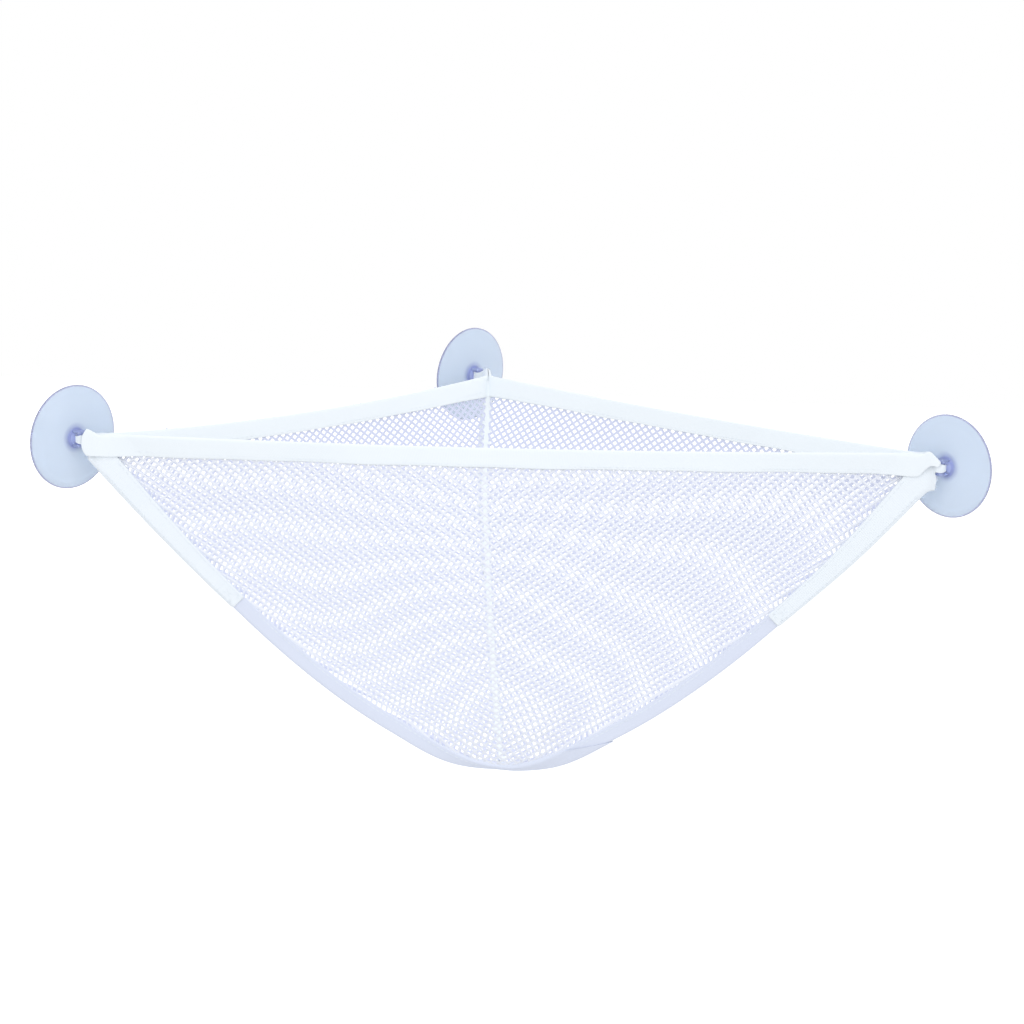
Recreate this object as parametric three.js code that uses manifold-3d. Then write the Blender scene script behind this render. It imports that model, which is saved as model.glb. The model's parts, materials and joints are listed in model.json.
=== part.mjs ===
import * as THREE from 'three';
import { mergeVertices } from 'three/examples/jsm/utils/BufferGeometryUtils.js';
import Module from 'manifold-3d';

const wasm = await Module();
wasm.setup();

// A corner bath toy organizer: a net bag of three panels hung by three suction cups.
// The origin is the room's corner at the height of the cups' centres, in millimetres.
// +Z is up, the front panel faces -Y and the two walls run off at 45 degrees to -X and +X.

// Place of the cups along the walls, measured from the room's corner.
const SIDE_CUP_REACH = 356;
const CORNER_CUP_REACH = 34;

// Suction cup.
const CUP_D = 60;
const LIP_W = 2.6;
const LIP_T = 1.3;
const DISH_DEPTH = 1.5;
const DISH_T = 2.2;
const POST_D = 10.4;
const POST_H = 4.4;
const POST_FILLET = 2;
const EYE_W = 5.6;
const EYE_ARM = 1.7;
const EYE_ROUND = 1.4;
const BAR_D = 3.6;

// Cloth and tapes.
const NET_T = 0.8;
const TAPE_T = 0.6;
const RIM_TAPE_W = 10;
const SEAM_TAPE_W = 10;
const STRAP_T = 0.7;
const STRAP_W = 5.2;
const STRAP_RUN = 128;
const STRAP_LAP = 2.3;
const LOOP_REACH = 13;

// Bag: depth below the rim, the low point's place and the curve of the seams.
const BAG_DEPTH = 202;
const LOW_X = 3;
const LOW_Y = -196;
const RIM_LIFT = 1.8;
const RIM_SAG = 2.5;
const SEAM_CURVE = 1.55;
const FRONT_BULGE = 13;
const BACK_BULGE = 9;

// Mesh of the net, coarser than the cloth's own.
const GAP_W = 37;
const GAP_H = 30;
const STRAND_W = 4;
const NET_BAND = 5;

// Clearances.
const PLY_GAP = 0.3;
const BAR_GAP = 0.35;
const TURN_GAP = 0.6;
const EYE_GAP = 0.4;
const LOW_GAP = 2.6;
const SEAM_GAP = 1.6;
const RIM_END_GAP = 4;
const LOW_EDGE = 1;

// Steps along curves.
const SEAM_STEPS = 20;
const RIM_STEPS = 16;
const ROUND_STEPS = 40;

// Drawing of the net: shortest side and flattest corner of a gap, and the bend that keeps lines apart.
const SHORTEST = 0.4;
const FLATTEST = 0.02;
const BEND = 1e-5;

// Layers across a seam, from its middle plane outwards.
const FLANGE_OFF = (NET_T + PLY_GAP) / 2;
const SEAM_IN = FLANGE_OFF + NET_T / 2 + PLY_GAP;
const SEAM_OUT = SEAM_IN + TAPE_T;
const LOOP_IN = Math.max(BAR_D / 2 + BAR_GAP, SEAM_OUT + PLY_GAP);
const LOOP_OUT = LOOP_IN + STRAP_T;
const FLANGE_W = SEAM_TAPE_W - TAPE_T - PLY_GAP;
const BAR_STAND = POST_H + TURN_GAP + LOOP_OUT;
const EYE_SLOT = STRAP_W + 2 * EYE_GAP;

const UP = new THREE.Vector3(0, 0, 1);
const group = new THREE.Group();
group.name = 'bath_toy_organizer';

const clothMat = new THREE.MeshStandardMaterial({ color: 0xf1f1f8, roughness: 0.9 });
const tapeMat = new THREE.MeshStandardMaterial({ color: 0xf6f9ff, roughness: 0.85 });
const cupMat = new THREE.MeshStandardMaterial({ color: 0xb9c6ee, roughness: 0.2 });

// Welds a geometry and turns it so that its faces point out.
function weld(geometry) {
  const plain = geometry.index ? geometry.toNonIndexed() : geometry;
  const bare = new THREE.BufferGeometry();
  bare.setAttribute('position', plain.getAttribute('position').clone());
  const solid = mergeVertices(bare, 1e-3);
  const pos = solid.getAttribute('position');
  const kept = [];
  let volume = 0;
  for (let i = 0; i < solid.index.count; i += 3) {
    const [a, b, c] = [0, 1, 2].map((k) => solid.index.getX(i + k));
    if (a === b || b === c || c === a) continue;
    kept.push(a, b, c);
    const [va, vb, vc] = [a, b, c].map((k) => new THREE.Vector3().fromBufferAttribute(pos, k));
    volume += va.dot(vb.cross(vc));
  }
  if (volume < 0) {
    for (let i = 0; i < kept.length; i += 3) [kept[i], kept[i + 1]] = [kept[i + 1], kept[i]];
  }
  solid.setIndex(kept);
  return solid;
}

function toManifold(geometry) {
  const solid = weld(geometry);
  const vertProperties = new Float32Array(solid.getAttribute('position').array);
  const triVerts = new Uint32Array(solid.index.array);
  return new wasm.Manifold(new wasm.Mesh({ numProp: 3, vertProperties, triVerts }));
}

function fromManifold(body) {
  const mesh = body.getMesh();
  const geometry = new THREE.BufferGeometry();
  geometry.setAttribute('position', new THREE.BufferAttribute(new Float32Array(mesh.vertProperties), 3));
  geometry.setIndex(Array.from(mesh.triVerts));
  return geometry;
}

function join(...geometries) {
  return fromManifold(geometries.map(toManifold).reduce((a, b) => a.add(b)));
}

function cut(geometry, tool) {
  return fromManifold(toManifold(geometry).subtract(toManifold(tool)));
}

function addNode(name, geometry, material) {
  const solid = weld(geometry);
  solid.computeVertexNormals();
  const mesh = new THREE.Mesh(solid, material);
  mesh.name = name;
  group.add(mesh);
}

function extrude(points, depth, holes = []) {
  const shape = new THREE.Shape(points);
  shape.holes = holes.map((hole) => new THREE.Path(hole));
  return new THREE.ExtrudeGeometry(shape, { depth, bevelEnabled: false });
}

// A section in two directions, carried along a row of frames and capped at both ends.
function sweep(section, frames) {
  const count = section.length;
  const positions = [];
  const index = [];
  for (const frame of frames) {
    for (const [a, b] of section) {
      const at = frame.origin.clone().addScaledVector(frame.first, a).addScaledVector(frame.second, b);
      positions.push(at.x, at.y, at.z);
    }
  }
  for (let i = 0; i < frames.length - 1; i += 1) {
    for (let j = 0; j < count; j += 1) {
      const a = i * count + j;
      const b = i * count + ((j + 1) % count);
      index.push(a, b, b + count, a, b + count, a + count);
    }
  }
  const outline = section.map(([a, b]) => new THREE.Vector2(a, b));
  const last = (frames.length - 1) * count;
  for (const [a, b, c] of THREE.ShapeUtils.triangulateShape(outline, [])) {
    index.push(c, b, a, last + a, last + b, last + c);
  }
  const geometry = new THREE.BufferGeometry();
  geometry.setAttribute('position', new THREE.Float32BufferAttribute(positions, 3));
  geometry.setIndex(index);
  return geometry;
}

// The U of a tape folded over an edge: legs from start to end, the fold at the end.
function foldSection(start, end, inner, outer) {
  const fold = end > start ? end - TAPE_T : end + TAPE_T;
  const section = [[start, outer], [end, outer], [end, -outer], [start, -outer]];
  section.push([start, -inner], [fold, -inner], [fold, inner], [start, inner]);
  return end > start ? section.reverse() : section;
}

// Walls, cups and corners.
const LEFT_WALL = new THREE.Vector3(-1, -1, 0).normalize();
const RIGHT_WALL = new THREE.Vector3(1, -1, 0).normalize();
const LOW = new THREE.Vector3(LOW_X, LOW_Y, 0);

function makeCorner(name, along, into, reach) {
  const seat = along.clone().multiplyScalar(reach);
  const bar = seat.clone().addScaledVector(into, BAR_STAND);
  const out = bar.clone().sub(LOW);
  const barRadius = out.length();
  out.normalize();
  const side = new THREE.Vector3().crossVectors(UP, out);
  const radius = barRadius - LOOP_REACH;
  const tip = LOW.clone().addScaledVector(out, radius);
  return { name, into, seat, bar, out, side, barRadius, radius, tip };
}

const corners = {
  left: makeCorner('left', LEFT_WALL, RIGHT_WALL, SIDE_CUP_REACH),
  right: makeCorner('right', RIGHT_WALL, LEFT_WALL, SIDE_CUP_REACH),
  back: makeCorner('back', LEFT_WALL, RIGHT_WALL, CORNER_CUP_REACH),
};

// Height of the bag's wall where its outline has shrunk to a share of the rim's.
function levelAt(share) {
  return RIM_LIFT - BAG_DEPTH * (1 - share ** SEAM_CURVE);
}

// A point beside a corner's seam, in the seam's own upright plane: outwards, then up.
function seamPoint(corner, share, off) {
  const slope = (BAG_DEPTH * SEAM_CURVE * share ** (SEAM_CURVE - 1)) / corner.radius;
  const long = Math.hypot(slope, 1);
  return new THREE.Vector2(corner.radius * share + (off * slope) / long, levelAt(share) - off / long);
}

function seamShares(corner) {
  const end = LOW_GAP / corner.radius;
  return Array.from({ length: SEAM_STEPS + 1 }, (_, i) => 1 + ((end - 1) * i) / SEAM_STEPS);
}

// Turns a drawing in a seam's plane, given thickness, into its place.
function standInSeam(geometry, corner, start) {
  const across = new THREE.Vector3().crossVectors(corner.out, UP);
  const place = new THREE.Matrix4().makeBasis(corner.out, UP, across);
  place.setPosition(LOW.clone().addScaledVector(across, start));
  return geometry.applyMatrix4(place);
}

function seamTape(corner) {
  const frames = seamShares(corner).map((share) => {
    const inner = seamPoint(corner, share, 0);
    const outer = seamPoint(corner, share, 1);
    const origin = LOW.clone().addScaledVector(corner.out, inner.x);
    origin.z = inner.y;
    const first = corner.out.clone().multiplyScalar(outer.x - inner.x);
    first.z = outer.y - inner.y;
    return { origin, first, second: corner.side };
  });
  return sweep(foldSection(SEAM_GAP, SEAM_TAPE_W, SEAM_IN, SEAM_OUT), frames);
}

// The strap: two plies over the seam tape, joined by a turn round the cup's bar.
function cornerStrap(corner) {
  const half = STRAP_W / 2;
  let run = 0;
  let last = seamPoint(corner, 1, 0);
  const shares = [1];
  for (let share = 0.99; run < STRAP_RUN && share > 0.1; share -= 0.01) {
    const next = seamPoint(corner, share, 0);
    run += next.distanceTo(last);
    last = next;
    if (shares[shares.length - 1] - share > 0.045) shares.push(share);
  }
  const edge = SEAM_TAPE_W + STRAP_LAP;
  const inside = shares.map((share) => seamPoint(corner, share, SEAM_GAP));
  const outside = shares.map((share) => seamPoint(corner, share, edge));
  const low = outside.filter((at) => at.y < -half - LOOP_OUT && at.x < corner.barRadius - LOOP_OUT);
  const outline = [new THREE.Vector2(corner.barRadius, half), ...inside, ...low.reverse()];
  outline.push(new THREE.Vector2(corner.barRadius - LOOP_OUT, -half));
  outline.push(new THREE.Vector2(corner.barRadius, -half));
  const plies = [LOOP_IN, -LOOP_OUT].map((start) => standInSeam(extrude(outline, STRAP_T), corner, start));
  const turn = new THREE.Shape();
  turn.absarc(0, 0, LOOP_OUT, -Math.PI / 2, Math.PI / 2, false);
  turn.lineTo(-STRAP_T, LOOP_OUT);
  turn.lineTo(-STRAP_T, LOOP_IN);
  turn.lineTo(0, LOOP_IN);
  turn.absarc(0, 0, LOOP_IN, Math.PI / 2, -Math.PI / 2, true);
  turn.lineTo(-STRAP_T, -LOOP_IN);
  turn.lineTo(-STRAP_T, -LOOP_OUT);
  const loop = new THREE.ExtrudeGeometry(turn, { depth: STRAP_W, bevelEnabled: false, curveSegments: 10 });
  const place = new THREE.Matrix4().makeBasis(corner.out, corner.side, UP);
  place.setPosition(corner.bar.clone().setZ(-half));
  return join(...plies, loop.applyMatrix4(place));
}

// A suction cup: a turned lip, dish and post, with an eye and its bar at the end.
function suctionCup(corner) {
  const lip = CUP_D / 2;
  const dish = lip - LIP_W;
  const post = POST_D / 2;
  const rise = DISH_DEPTH + DISH_T;
  const profile = [];
  for (let i = 0; i <= 6; i += 1) {
    const r = (dish * i) / 6;
    profile.push(new THREE.Vector2(r, DISH_DEPTH * (1 - (r / dish) ** 2)));
  }
  profile.push(new THREE.Vector2(lip, 0));
  profile.push(new THREE.Vector2(lip, LIP_T * 0.6));
  profile.push(new THREE.Vector2(lip - LIP_T * 0.4, LIP_T));
  for (let i = 1; i <= 4; i += 1) {
    const r = dish + ((post + POST_FILLET - dish) * i) / 4;
    const share = (dish - r) / (dish - post - POST_FILLET);
    profile.push(new THREE.Vector2(r, LIP_T + (rise - LIP_T) * share * (2 - share)));
  }
  const fillet = Math.min(POST_FILLET, POST_H - rise);
  for (let i = 1; i <= 4; i += 1) {
    const turn = (Math.PI / 2) * (i / 4);
    const r = post + POST_FILLET * (1 - Math.sin(turn));
    profile.push(new THREE.Vector2(r, rise + fillet * (1 - Math.cos(turn))));
  }
  profile.push(new THREE.Vector2(0, rise + fillet));
  const turned = new THREE.LatheGeometry(profile, ROUND_STEPS).rotateX(Math.PI / 2);
  const high = EYE_SLOT / 2 + EYE_ARM;
  const end = BAR_STAND + BAR_D / 2;
  const root = POST_H - DISH_T / 2;
  const arms = new THREE.Shape();
  arms.moveTo(root, -high);
  arms.lineTo(end - EYE_ROUND, -high);
  arms.quadraticCurveTo(end, -high, end, -high + EYE_ROUND);
  arms.lineTo(end, high - EYE_ROUND);
  arms.quadraticCurveTo(end, high, end - EYE_ROUND, high);
  arms.lineTo(root, high);
  const flat = new THREE.ExtrudeGeometry(arms, { depth: EYE_W, bevelEnabled: false, curveSegments: 5 });
  const slot = [[POST_H, -EYE_SLOT / 2], [end + EYE_ARM, -EYE_SLOT / 2]];
  slot.push([end + EYE_ARM, EYE_SLOT / 2], [POST_H, EYE_SLOT / 2]);
  const clear = extrude(slot.map(([a, b]) => new THREE.Vector2(a, b)), EYE_W * 2);
  clear.translate(0, 0, -EYE_W / 2);
  const eye = cut(flat, clear);
  const stand = new THREE.Matrix4().makeBasis(
    new THREE.Vector3(0, 0, 1),
    new THREE.Vector3(0, 1, 0),
    new THREE.Vector3(-1, 0, 0),
  );
  eye.applyMatrix4(stand.setPosition(EYE_W / 2, 0, 0));
  const bar = new THREE.CylinderGeometry(BAR_D / 2, BAR_D / 2, EYE_SLOT + EYE_ARM, 16);
  bar.translate(0, 0, BAR_STAND);
  const cup = join(turned, eye, bar);
  const along = new THREE.Vector3().crossVectors(UP, corner.into);
  const place = new THREE.Matrix4().makeBasis(along, UP, corner.into);
  return cup.applyMatrix4(place.setPosition(corner.seat));
}

// A panel of net between two corners, drawn flat as a cut pattern and then hung.
function makePanel(name, from, to, bulge) {
  const along = to.tip.clone().sub(from.tip).normalize();
  const foot = from.tip.clone().sub(LOW);
  const start = foot.dot(along);
  foot.addScaledVector(along, -start);
  const lean = foot.length();
  const end = start + to.tip.distanceTo(from.tip);
  const fall = Math.hypot(BAG_DEPTH, lean);
  const trim = [from, to].map((corner) => {
    const angle = Math.abs(new THREE.Vector3().crossVectors(along, corner.out).z);
    return { x: FLANGE_OFF / angle, back: (FLANGE_OFF * Math.sqrt(1 - angle ** 2)) / angle };
  });
  return { name, from, to, along, foot, start, end, fall, bulge, trim };
}

function shareAt(down) {
  return (1 - down) ** (1 / SEAM_CURVE);
}

// Hangs a point of the flat pattern: along the rim, then down the cloth.
function hang(panel, p, q) {
  const down = q / panel.fall;
  const share = shareAt(down);
  const place = p / share;
  const across = (place - panel.start) / (panel.end - panel.start);
  const swell = panel.bulge * (4 * across * (1 - across)) ** 2 * 4 * down * (1 - down);
  const at = panel.foot.clone().setLength(panel.foot.length() * share + swell);
  at.add(LOW).addScaledVector(panel.along, p);
  at.z = levelAt(share);
  return at;
}

function hangNormal(panel, p, q) {
  const step = 0.5;
  const low = Math.max(q - step, 0);
  const high = Math.min(q + step, panel.fall - LOW_EDGE / 2);
  const across = hang(panel, p + step, q).sub(hang(panel, p - step, q));
  const down = hang(panel, p, high).sub(hang(panel, p, low));
  return across.cross(down).normalize();
}

// How far the top edge hangs below the straight line between its corners.
function rimSag(panel, p) {
  const across = (p - panel.start) / (panel.end - panel.start);
  return RIM_SAG * 4 * across * (1 - across);
}

// The edge of the flat pattern, drawn in by a band along the seams and from top and bottom.
function patternEdge(panel, band, top, bottom) {
  const leftEdge = [];
  const rightEdge = [];
  const steps = SEAM_STEPS;
  for (let i = 0; i <= steps; i += 1) {
    const q = top + ((panel.fall - bottom - top) * i) / steps;
    const share = shareAt(q / panel.fall);
    const a = panel.start * share + panel.trim[0].x + band;
    const b = panel.end * share - panel.trim[1].x - band;
    if (b - a < band + NET_BAND) break;
    leftEdge.push(new THREE.Vector2(a, q));
    rightEdge.push(new THREE.Vector2(b, q));
  }
  const topEdge = [];
  for (let i = 1; i < RIM_STEPS; i += 1) {
    const at = rightEdge[0].clone().lerp(leftEdge[0], i / RIM_STEPS);
    topEdge.push(at.setY(at.y + (top === 0 ? rimSag(panel, at.x) : 0)));
  }
  return [...leftEdge, ...rightEdge.reverse(), ...topEdge];
}

function area(points) {
  return Math.abs(THREE.ShapeUtils.area(points));
}

// Drops the points of an outline that lie on the line between their neighbours.
function withoutFlats(points) {
  return points.filter((at, i) => {
    const before = points[(i + points.length - 1) % points.length];
    const line = points[(i + 1) % points.length].clone().sub(before);
    return Math.abs(line.cross(at.clone().sub(before))) > FLATTEST * line.length();
  });
}

// Keeps the part of a convex outline that lies inside a convex edge.
function clip(points, edge) {
  const turn = Math.sign(THREE.ShapeUtils.area(edge));
  let kept = points;
  edge.forEach((a, i) => {
    const b = edge[(i + 1) % edge.length];
    const inside = (at) => turn * ((b.x - a.x) * (at.y - a.y) - (b.y - a.y) * (at.x - a.x));
    const next = [];
    kept.forEach((at, j) => {
      const to = kept[(j + 1) % kept.length];
      const [d, e] = [inside(at), inside(to)];
      if (d >= 0) next.push(at);
      if (d * e < 0) next.push(at.clone().lerp(to, d / (d - e)));
    });
    kept = next;
  });
  return withoutFlats(kept.filter((at, i) => at.distanceTo(kept[(i + 1) % kept.length]) > SHORTEST));
}

// Diamond gaps of the net, laid in offset rows and clipped to the pattern.
function netGaps(panel) {
  const bound = patternEdge(panel, NET_BAND, RIM_TAPE_W + RIM_SAG + NET_BAND, NET_BAND);
  const [w, h] = [GAP_W / 2, GAP_H / 2];
  const reach = (w * h) / Math.hypot(w, h);
  const open = (reach - STRAND_W / 2) / reach;
  const gaps = [];
  const rows = Math.ceil(panel.fall / h);
  const first = Math.floor(panel.start / w);
  const last = Math.ceil(panel.end / w);
  for (let j = 0; j <= rows; j += 1) {
    for (let i = first; i <= last; i += 1) {
      if ((i + j) % 2 !== 0) continue;
      const corners4 = [[-w, 0], [0, -h], [w, 0], [0, h]];
      const diamond = corners4.map(([x, y]) => new THREE.Vector2(i * w + x * open, j * h + y * open));
      const gap = clip(diamond, bound);
      if (gap.length > 2 && area(gap) > 0.22 * area(diamond)) gaps.push(gap);
    }
  }
  return gaps;
}

// The seam allowance of a panel: a strip that runs into the fold of the seam tape.
function flange(panel, corner, back, side) {
  const shares = seamShares(corner);
  const inner = shares.map((share) => {
    const at = seamPoint(corner, share, 0);
    return new THREE.Vector2(Math.max(at.x - back - NET_T / 2, LOW_GAP - 0.5), at.y);
  });
  const outer = shares.map((share) => seamPoint(corner, share, FLANGE_W));
  const strip = extrude([...inner, ...outer.reverse()], NET_T);
  return standInSeam(strip, corner, side * FLANGE_OFF - NET_T / 2);
}

// Swaps the shared edges of a flat triangulation until its triangles are as full as can be.
function fullTriangles(points, faces) {
  const angle = (at, a, b) => points[a].clone().sub(points[at]).angleTo(points[b].clone().sub(points[at]));
  for (let swaps = 1; swaps > 0;) {
    swaps = 0;
    const owner = new Map();
    const used = new Set();
    faces.forEach((face, i) => face.forEach((a, k) => owner.set(`${a} ${face[(k + 1) % 3]}`, i)));
    faces.forEach((face, i) => {
      for (let k = 0; k < 3 && !used.has(i); k += 1) {
        const [a, b, c] = [face[k], face[(k + 1) % 3], face[(k + 2) % 3]];
        const j = owner.get(`${b} ${a}`);
        if (j === undefined || used.has(j)) continue;
        const d = faces[j].find((v) => v !== a && v !== b);
        if (angle(c, a, b) + angle(d, a, b) < Math.PI + 1e-6) continue;
        faces[i] = [a, d, c];
        faces[j] = [d, b, c];
        used.add(i).add(j);
        swaps += 1;
      }
    });
  }
  return faces;
}

// The net of a panel: its flat pattern with the gaps cut out, hung and given its thickness.
function netSheet(panel) {
  const edge = patternEdge(panel, 0, 0, LOW_EDGE);
  const rings = [edge, ...netGaps(panel)];
  rings.forEach((ring, i) => {
    if (THREE.ShapeUtils.isClockWise(ring) === (i === 0)) ring.reverse();
  });
  const points = rings.flat();
  const bent = rings.map((ring) => ring.map((at) => new THREE.Vector2(at.x, at.y + BEND * at.x ** 2)));
  const faces = fullTriangles(points, THREE.ShapeUtils.triangulateShape(bent[0], bent.slice(1)));
  const positions = [];
  for (const off of [-NET_T / 2, NET_T / 2]) {
    for (const { x, y } of points) {
      const at = hang(panel, x, y).addScaledVector(hangNormal(panel, x, y), off);
      positions.push(at.x, at.y, at.z);
    }
  }
  const count = points.length;
  const index = faces.flatMap(([a, b, c]) => [c, b, a, a + count, b + count, c + count]);
  let base = 0;
  for (const ring of rings) {
    ring.forEach((_, k) => {
      const a = base + k;
      const b = base + ((k + 1) % ring.length);
      index.push(a, b, b + count, a, b + count, a + count);
    });
    base += ring.length;
  }
  const geometry = new THREE.BufferGeometry();
  geometry.setAttribute('position', new THREE.Float32BufferAttribute(positions, 3));
  geometry.setIndex(index);
  return geometry;
}

function rimTape(panel) {
  const width = panel.end - panel.start;
  const [a, b] = [panel.from, panel.to].map((corner) => {
    return RIM_END_GAP + (RIM_TAPE_W * corner.radius) / (BAG_DEPTH * SEAM_CURVE);
  });
  const frames = Array.from({ length: RIM_STEPS + 1 }, (_, i) => {
    const p = panel.start + a + ((width - a - b) * i) / RIM_STEPS;
    const sag = rimSag(panel, p);
    const origin = hang(panel, p, sag);
    const first = hang(panel, p, sag + RIM_TAPE_W).sub(origin);
    first.addScaledVector(panel.along, -first.dot(panel.along)).normalize();
    return { origin, first, second: panel.along.clone().cross(first) };
  });
  const inner = NET_T / 2 + PLY_GAP;
  return sweep(foldSection(RIM_TAPE_W, -PLY_GAP - TAPE_T, inner, inner + TAPE_T), frames);
}

const panels = [
  makePanel('front', corners.left, corners.right, FRONT_BULGE),
  makePanel('right', corners.right, corners.back, BACK_BULGE),
  makePanel('left', corners.back, corners.left, BACK_BULGE),
];

for (const panel of panels) {
  const sheet = netSheet(panel);
  const sides = [[panel.from, 0], [panel.to, 1]].map(([corner, k]) => {
    const middle = panel.from.tip.clone().add(panel.to.tip).multiplyScalar(0.5);
    const across = new THREE.Vector3().crossVectors(corner.out, UP);
    const side = Math.sign(middle.sub(corner.tip).dot(across));
    return flange(panel, corner, panel.trim[k].back, side);
  });
  addNode(`${panel.name}_net_panel`, join(sheet, ...sides), clothMat);
  addNode(`${panel.name}_rim_tape`, rimTape(panel), tapeMat);
}

for (const corner of Object.values(corners)) {
  addNode(`${corner.name}_seam_tape`, seamTape(corner), tapeMat);
  addNode(`${corner.name}_corner_strap`, cornerStrap(corner), tapeMat);
  addNode(`${corner.name}_suction_cup`, suctionCup(corner), cupMat);
}

export default group;
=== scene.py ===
"""Dresses a corner net bag for bath toys: net, bindings, straps, stitching and suction cups.

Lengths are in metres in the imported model's own frame. The origin is the room's corner at the
height of the cups' centres, +Z is up and the front panel faces -Y.
"""
import json
import math
from collections import namedtuple
from contextlib import contextmanager

import bpy
import numpy as np
from bpy.props import FloatProperty, FloatVectorProperty, IntProperty, PointerProperty
from mathutils import Matrix, Vector


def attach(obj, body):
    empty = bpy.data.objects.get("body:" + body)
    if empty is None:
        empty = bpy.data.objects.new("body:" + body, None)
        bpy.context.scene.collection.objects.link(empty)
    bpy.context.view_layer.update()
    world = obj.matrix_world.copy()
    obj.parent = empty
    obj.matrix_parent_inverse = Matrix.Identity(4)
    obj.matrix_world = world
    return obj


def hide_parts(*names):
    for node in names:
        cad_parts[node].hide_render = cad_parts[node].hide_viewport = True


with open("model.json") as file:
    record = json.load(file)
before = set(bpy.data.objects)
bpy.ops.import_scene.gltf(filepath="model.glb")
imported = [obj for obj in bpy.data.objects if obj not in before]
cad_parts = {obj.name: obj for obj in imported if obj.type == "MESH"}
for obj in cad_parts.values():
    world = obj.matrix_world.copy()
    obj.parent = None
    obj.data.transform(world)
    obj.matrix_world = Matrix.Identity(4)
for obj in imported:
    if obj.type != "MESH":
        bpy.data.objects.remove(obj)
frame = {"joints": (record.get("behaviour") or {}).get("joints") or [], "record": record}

bl_info = {
    "name": "Corner Net Bag",
    "version": (1, 0, 0),
    "blender": (4, 5, 0),
    "location": "View3D > Sidebar > Net Bag",
    "description": "Models a corner net bag with its bindings, straps, stitching and suction cups",
    "category": "Add Mesh",
}

MM = 0.001
UP = np.array([0.0, 0.0, 1.0])
ACROSS = np.array([1.0, 0.0, 0.0])
CORNERS = ("left", "right", "back")
PANEL_ENDS = {"front": ("left", "right"), "right": ("right", "back"), "left": ("back", "left")}

# Points of a tape that lie this near to each other are one.
SAME_POINT = 1e-7

# Room between a net and the middle of its seam.
PLY_ROOM = 0.15 * MM

# Shares of a seam, from the low point up, over which the bag hangs deeper there, its seams lie back
# and the back seam's fin runs out, and what is left of that fin at the low point.
DROP_SPAN = 0.28
LEAN_SPAN = 0.22
TAPER_SPAN = 0.25
TAPER_END = 0.2

# Where the pull on the cloth lets go past a corner and over how much, in reaches of the strap's loop,
# and how the pull grows towards that corner.
LET_GO = {"right": 0.4, "back": 0.45}
LET_GO_SPAN = 0.48
PULL_CURVE = 1.5

# How a rim binding's tail ends at the eye: behind the bar, top, bottom and the roundness of its end,
# in millimetres, the stretch in which it takes that height, and how much later its lower edge does.
Tail = namedtuple("Tail", "behind top bottom roundness begin finish late")
TAILS = {
    ("left", 1.0): Tail(-0.3, 6.5, -9.3, 3.3, 0.30, 1.00, 0.0),
    ("left", -1.0): Tail(4.6, 2.4, -7.0, 1.0, 0.00, 1.00, 0.0),
    ("right", -1.0): Tail(-0.05, 5.6, 0.9, 2.0, 0.20, 0.78, 0.22),
    ("right", 1.0): Tail(4.6, 3.6, -7.0, 1.0, 0.00, 1.00, 0.0),
    ("back", 1.0): Tail(4.6, 0.5, -7.0, 1.0, 0.00, 0.60, 0.0),
    ("back", -1.0): Tail(4.6, 1.2, -7.0, 1.0, 0.00, 0.60, 0.0),
}

# A tail's lines of points: how far down the tape they lie and how far they curl in, in millimetres.
TAIL_DROPS = np.array([-0.6, -0.95, -0.2, 1.5, 4.0, 7.0, 9.6, 10.4])
TAIL_CURLS = np.array([1.5, 0.6, 0.0, 0.0, 0.0, 0.0, 0.0, 0.0])

# A tail's rows on the panel: how far before the seam they lie and how deep they sink, in millimetres.
TAIL_INSIDE = np.array([16.0, 11.0, 7.0, 3.5, 0.0])
TAIL_SINKS = np.array([0.45, 0.0, 0.0, 0.0, 0.0])

# A tail's rows past the seam, its room over the binding, where it is pushed out, and its pleats.
TAIL_ROWS = 12
TAIL_ROOM = 0.06 * MM
TAIL_PUSH = 9.0 * MM
TAIL_PLEAT = 0.3 * MM
TAIL_PLEAT_PITCH = 4.6 * MM

# The straps' upper and lower edges on their way into the eyes: behind the bar and up, in millimetres.
STRAP_TURNS = {
    "left": (((9.2, 1.6), (6.6, 3.8), (4.7, 5.4), (3.7, 4.6), (3.2, 3.0), (2.3, 2.62)),
             ((4.5, -10.4), (3.5, -7.6), (3.4, -5.0), (3.1, -3.2), (2.2, -2.62))),
    "right": (((9.0, 3.6), (6.4, 4.1), (4.7, 4.2), (3.7, 3.7), (3.2, 2.9), (2.3, 2.62)),
              ((2.6, -10.4), (1.9, -7.8), (2.9, -5.4), (3.2, -3.6), (2.3, -2.62))),
    "back": (((14.0, 4.0), (11.6, 6.1), (8.8, 6.8), (6.6, 6.1), (5.0, 4.2), (3.5, 2.75), (2.3, 2.62)),
             ((4.5, -10.4), (3.5, -7.6), (3.4, -5.0), (3.1, -3.2), (2.2, -2.62))),
}

# How much a strap's plies pinch together before the eye, and where they pinch and close along their
# edges, behind the bar: the start, its length, the stop and its length.
PINCHES = {"left": 1.5 * MM, "right": 1.5 * MM, "back": 0.2 * MM}
PINCH_SPAN = np.array([1.8, 3.6, 12.0, 6.0]) * MM
SHUT_SPAN = np.array([3.4, 2.5, 20.0, 6.0]) * MM

# How far the two plies close on each other, by line of points from the upper edge to the lower one.
UPPER_SHUT = np.array([1.0, 0.38, 0.08, 0.0, 0.0, 0.0, 0.0, 0.0, 0.0])
LOWER_SHUT = np.array([0.0, 0.0, 0.0, 0.0, 0.0, 0.0, 0.0, 0.0, 1.0])
SHUT_GAP = 0.12 * MM

# The share of the seam up to which a strap is sewn, and how much narrower its loop is round the bar.
SEWN_TOP = 0.985
LOOP_WAIST = 0.28

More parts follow.
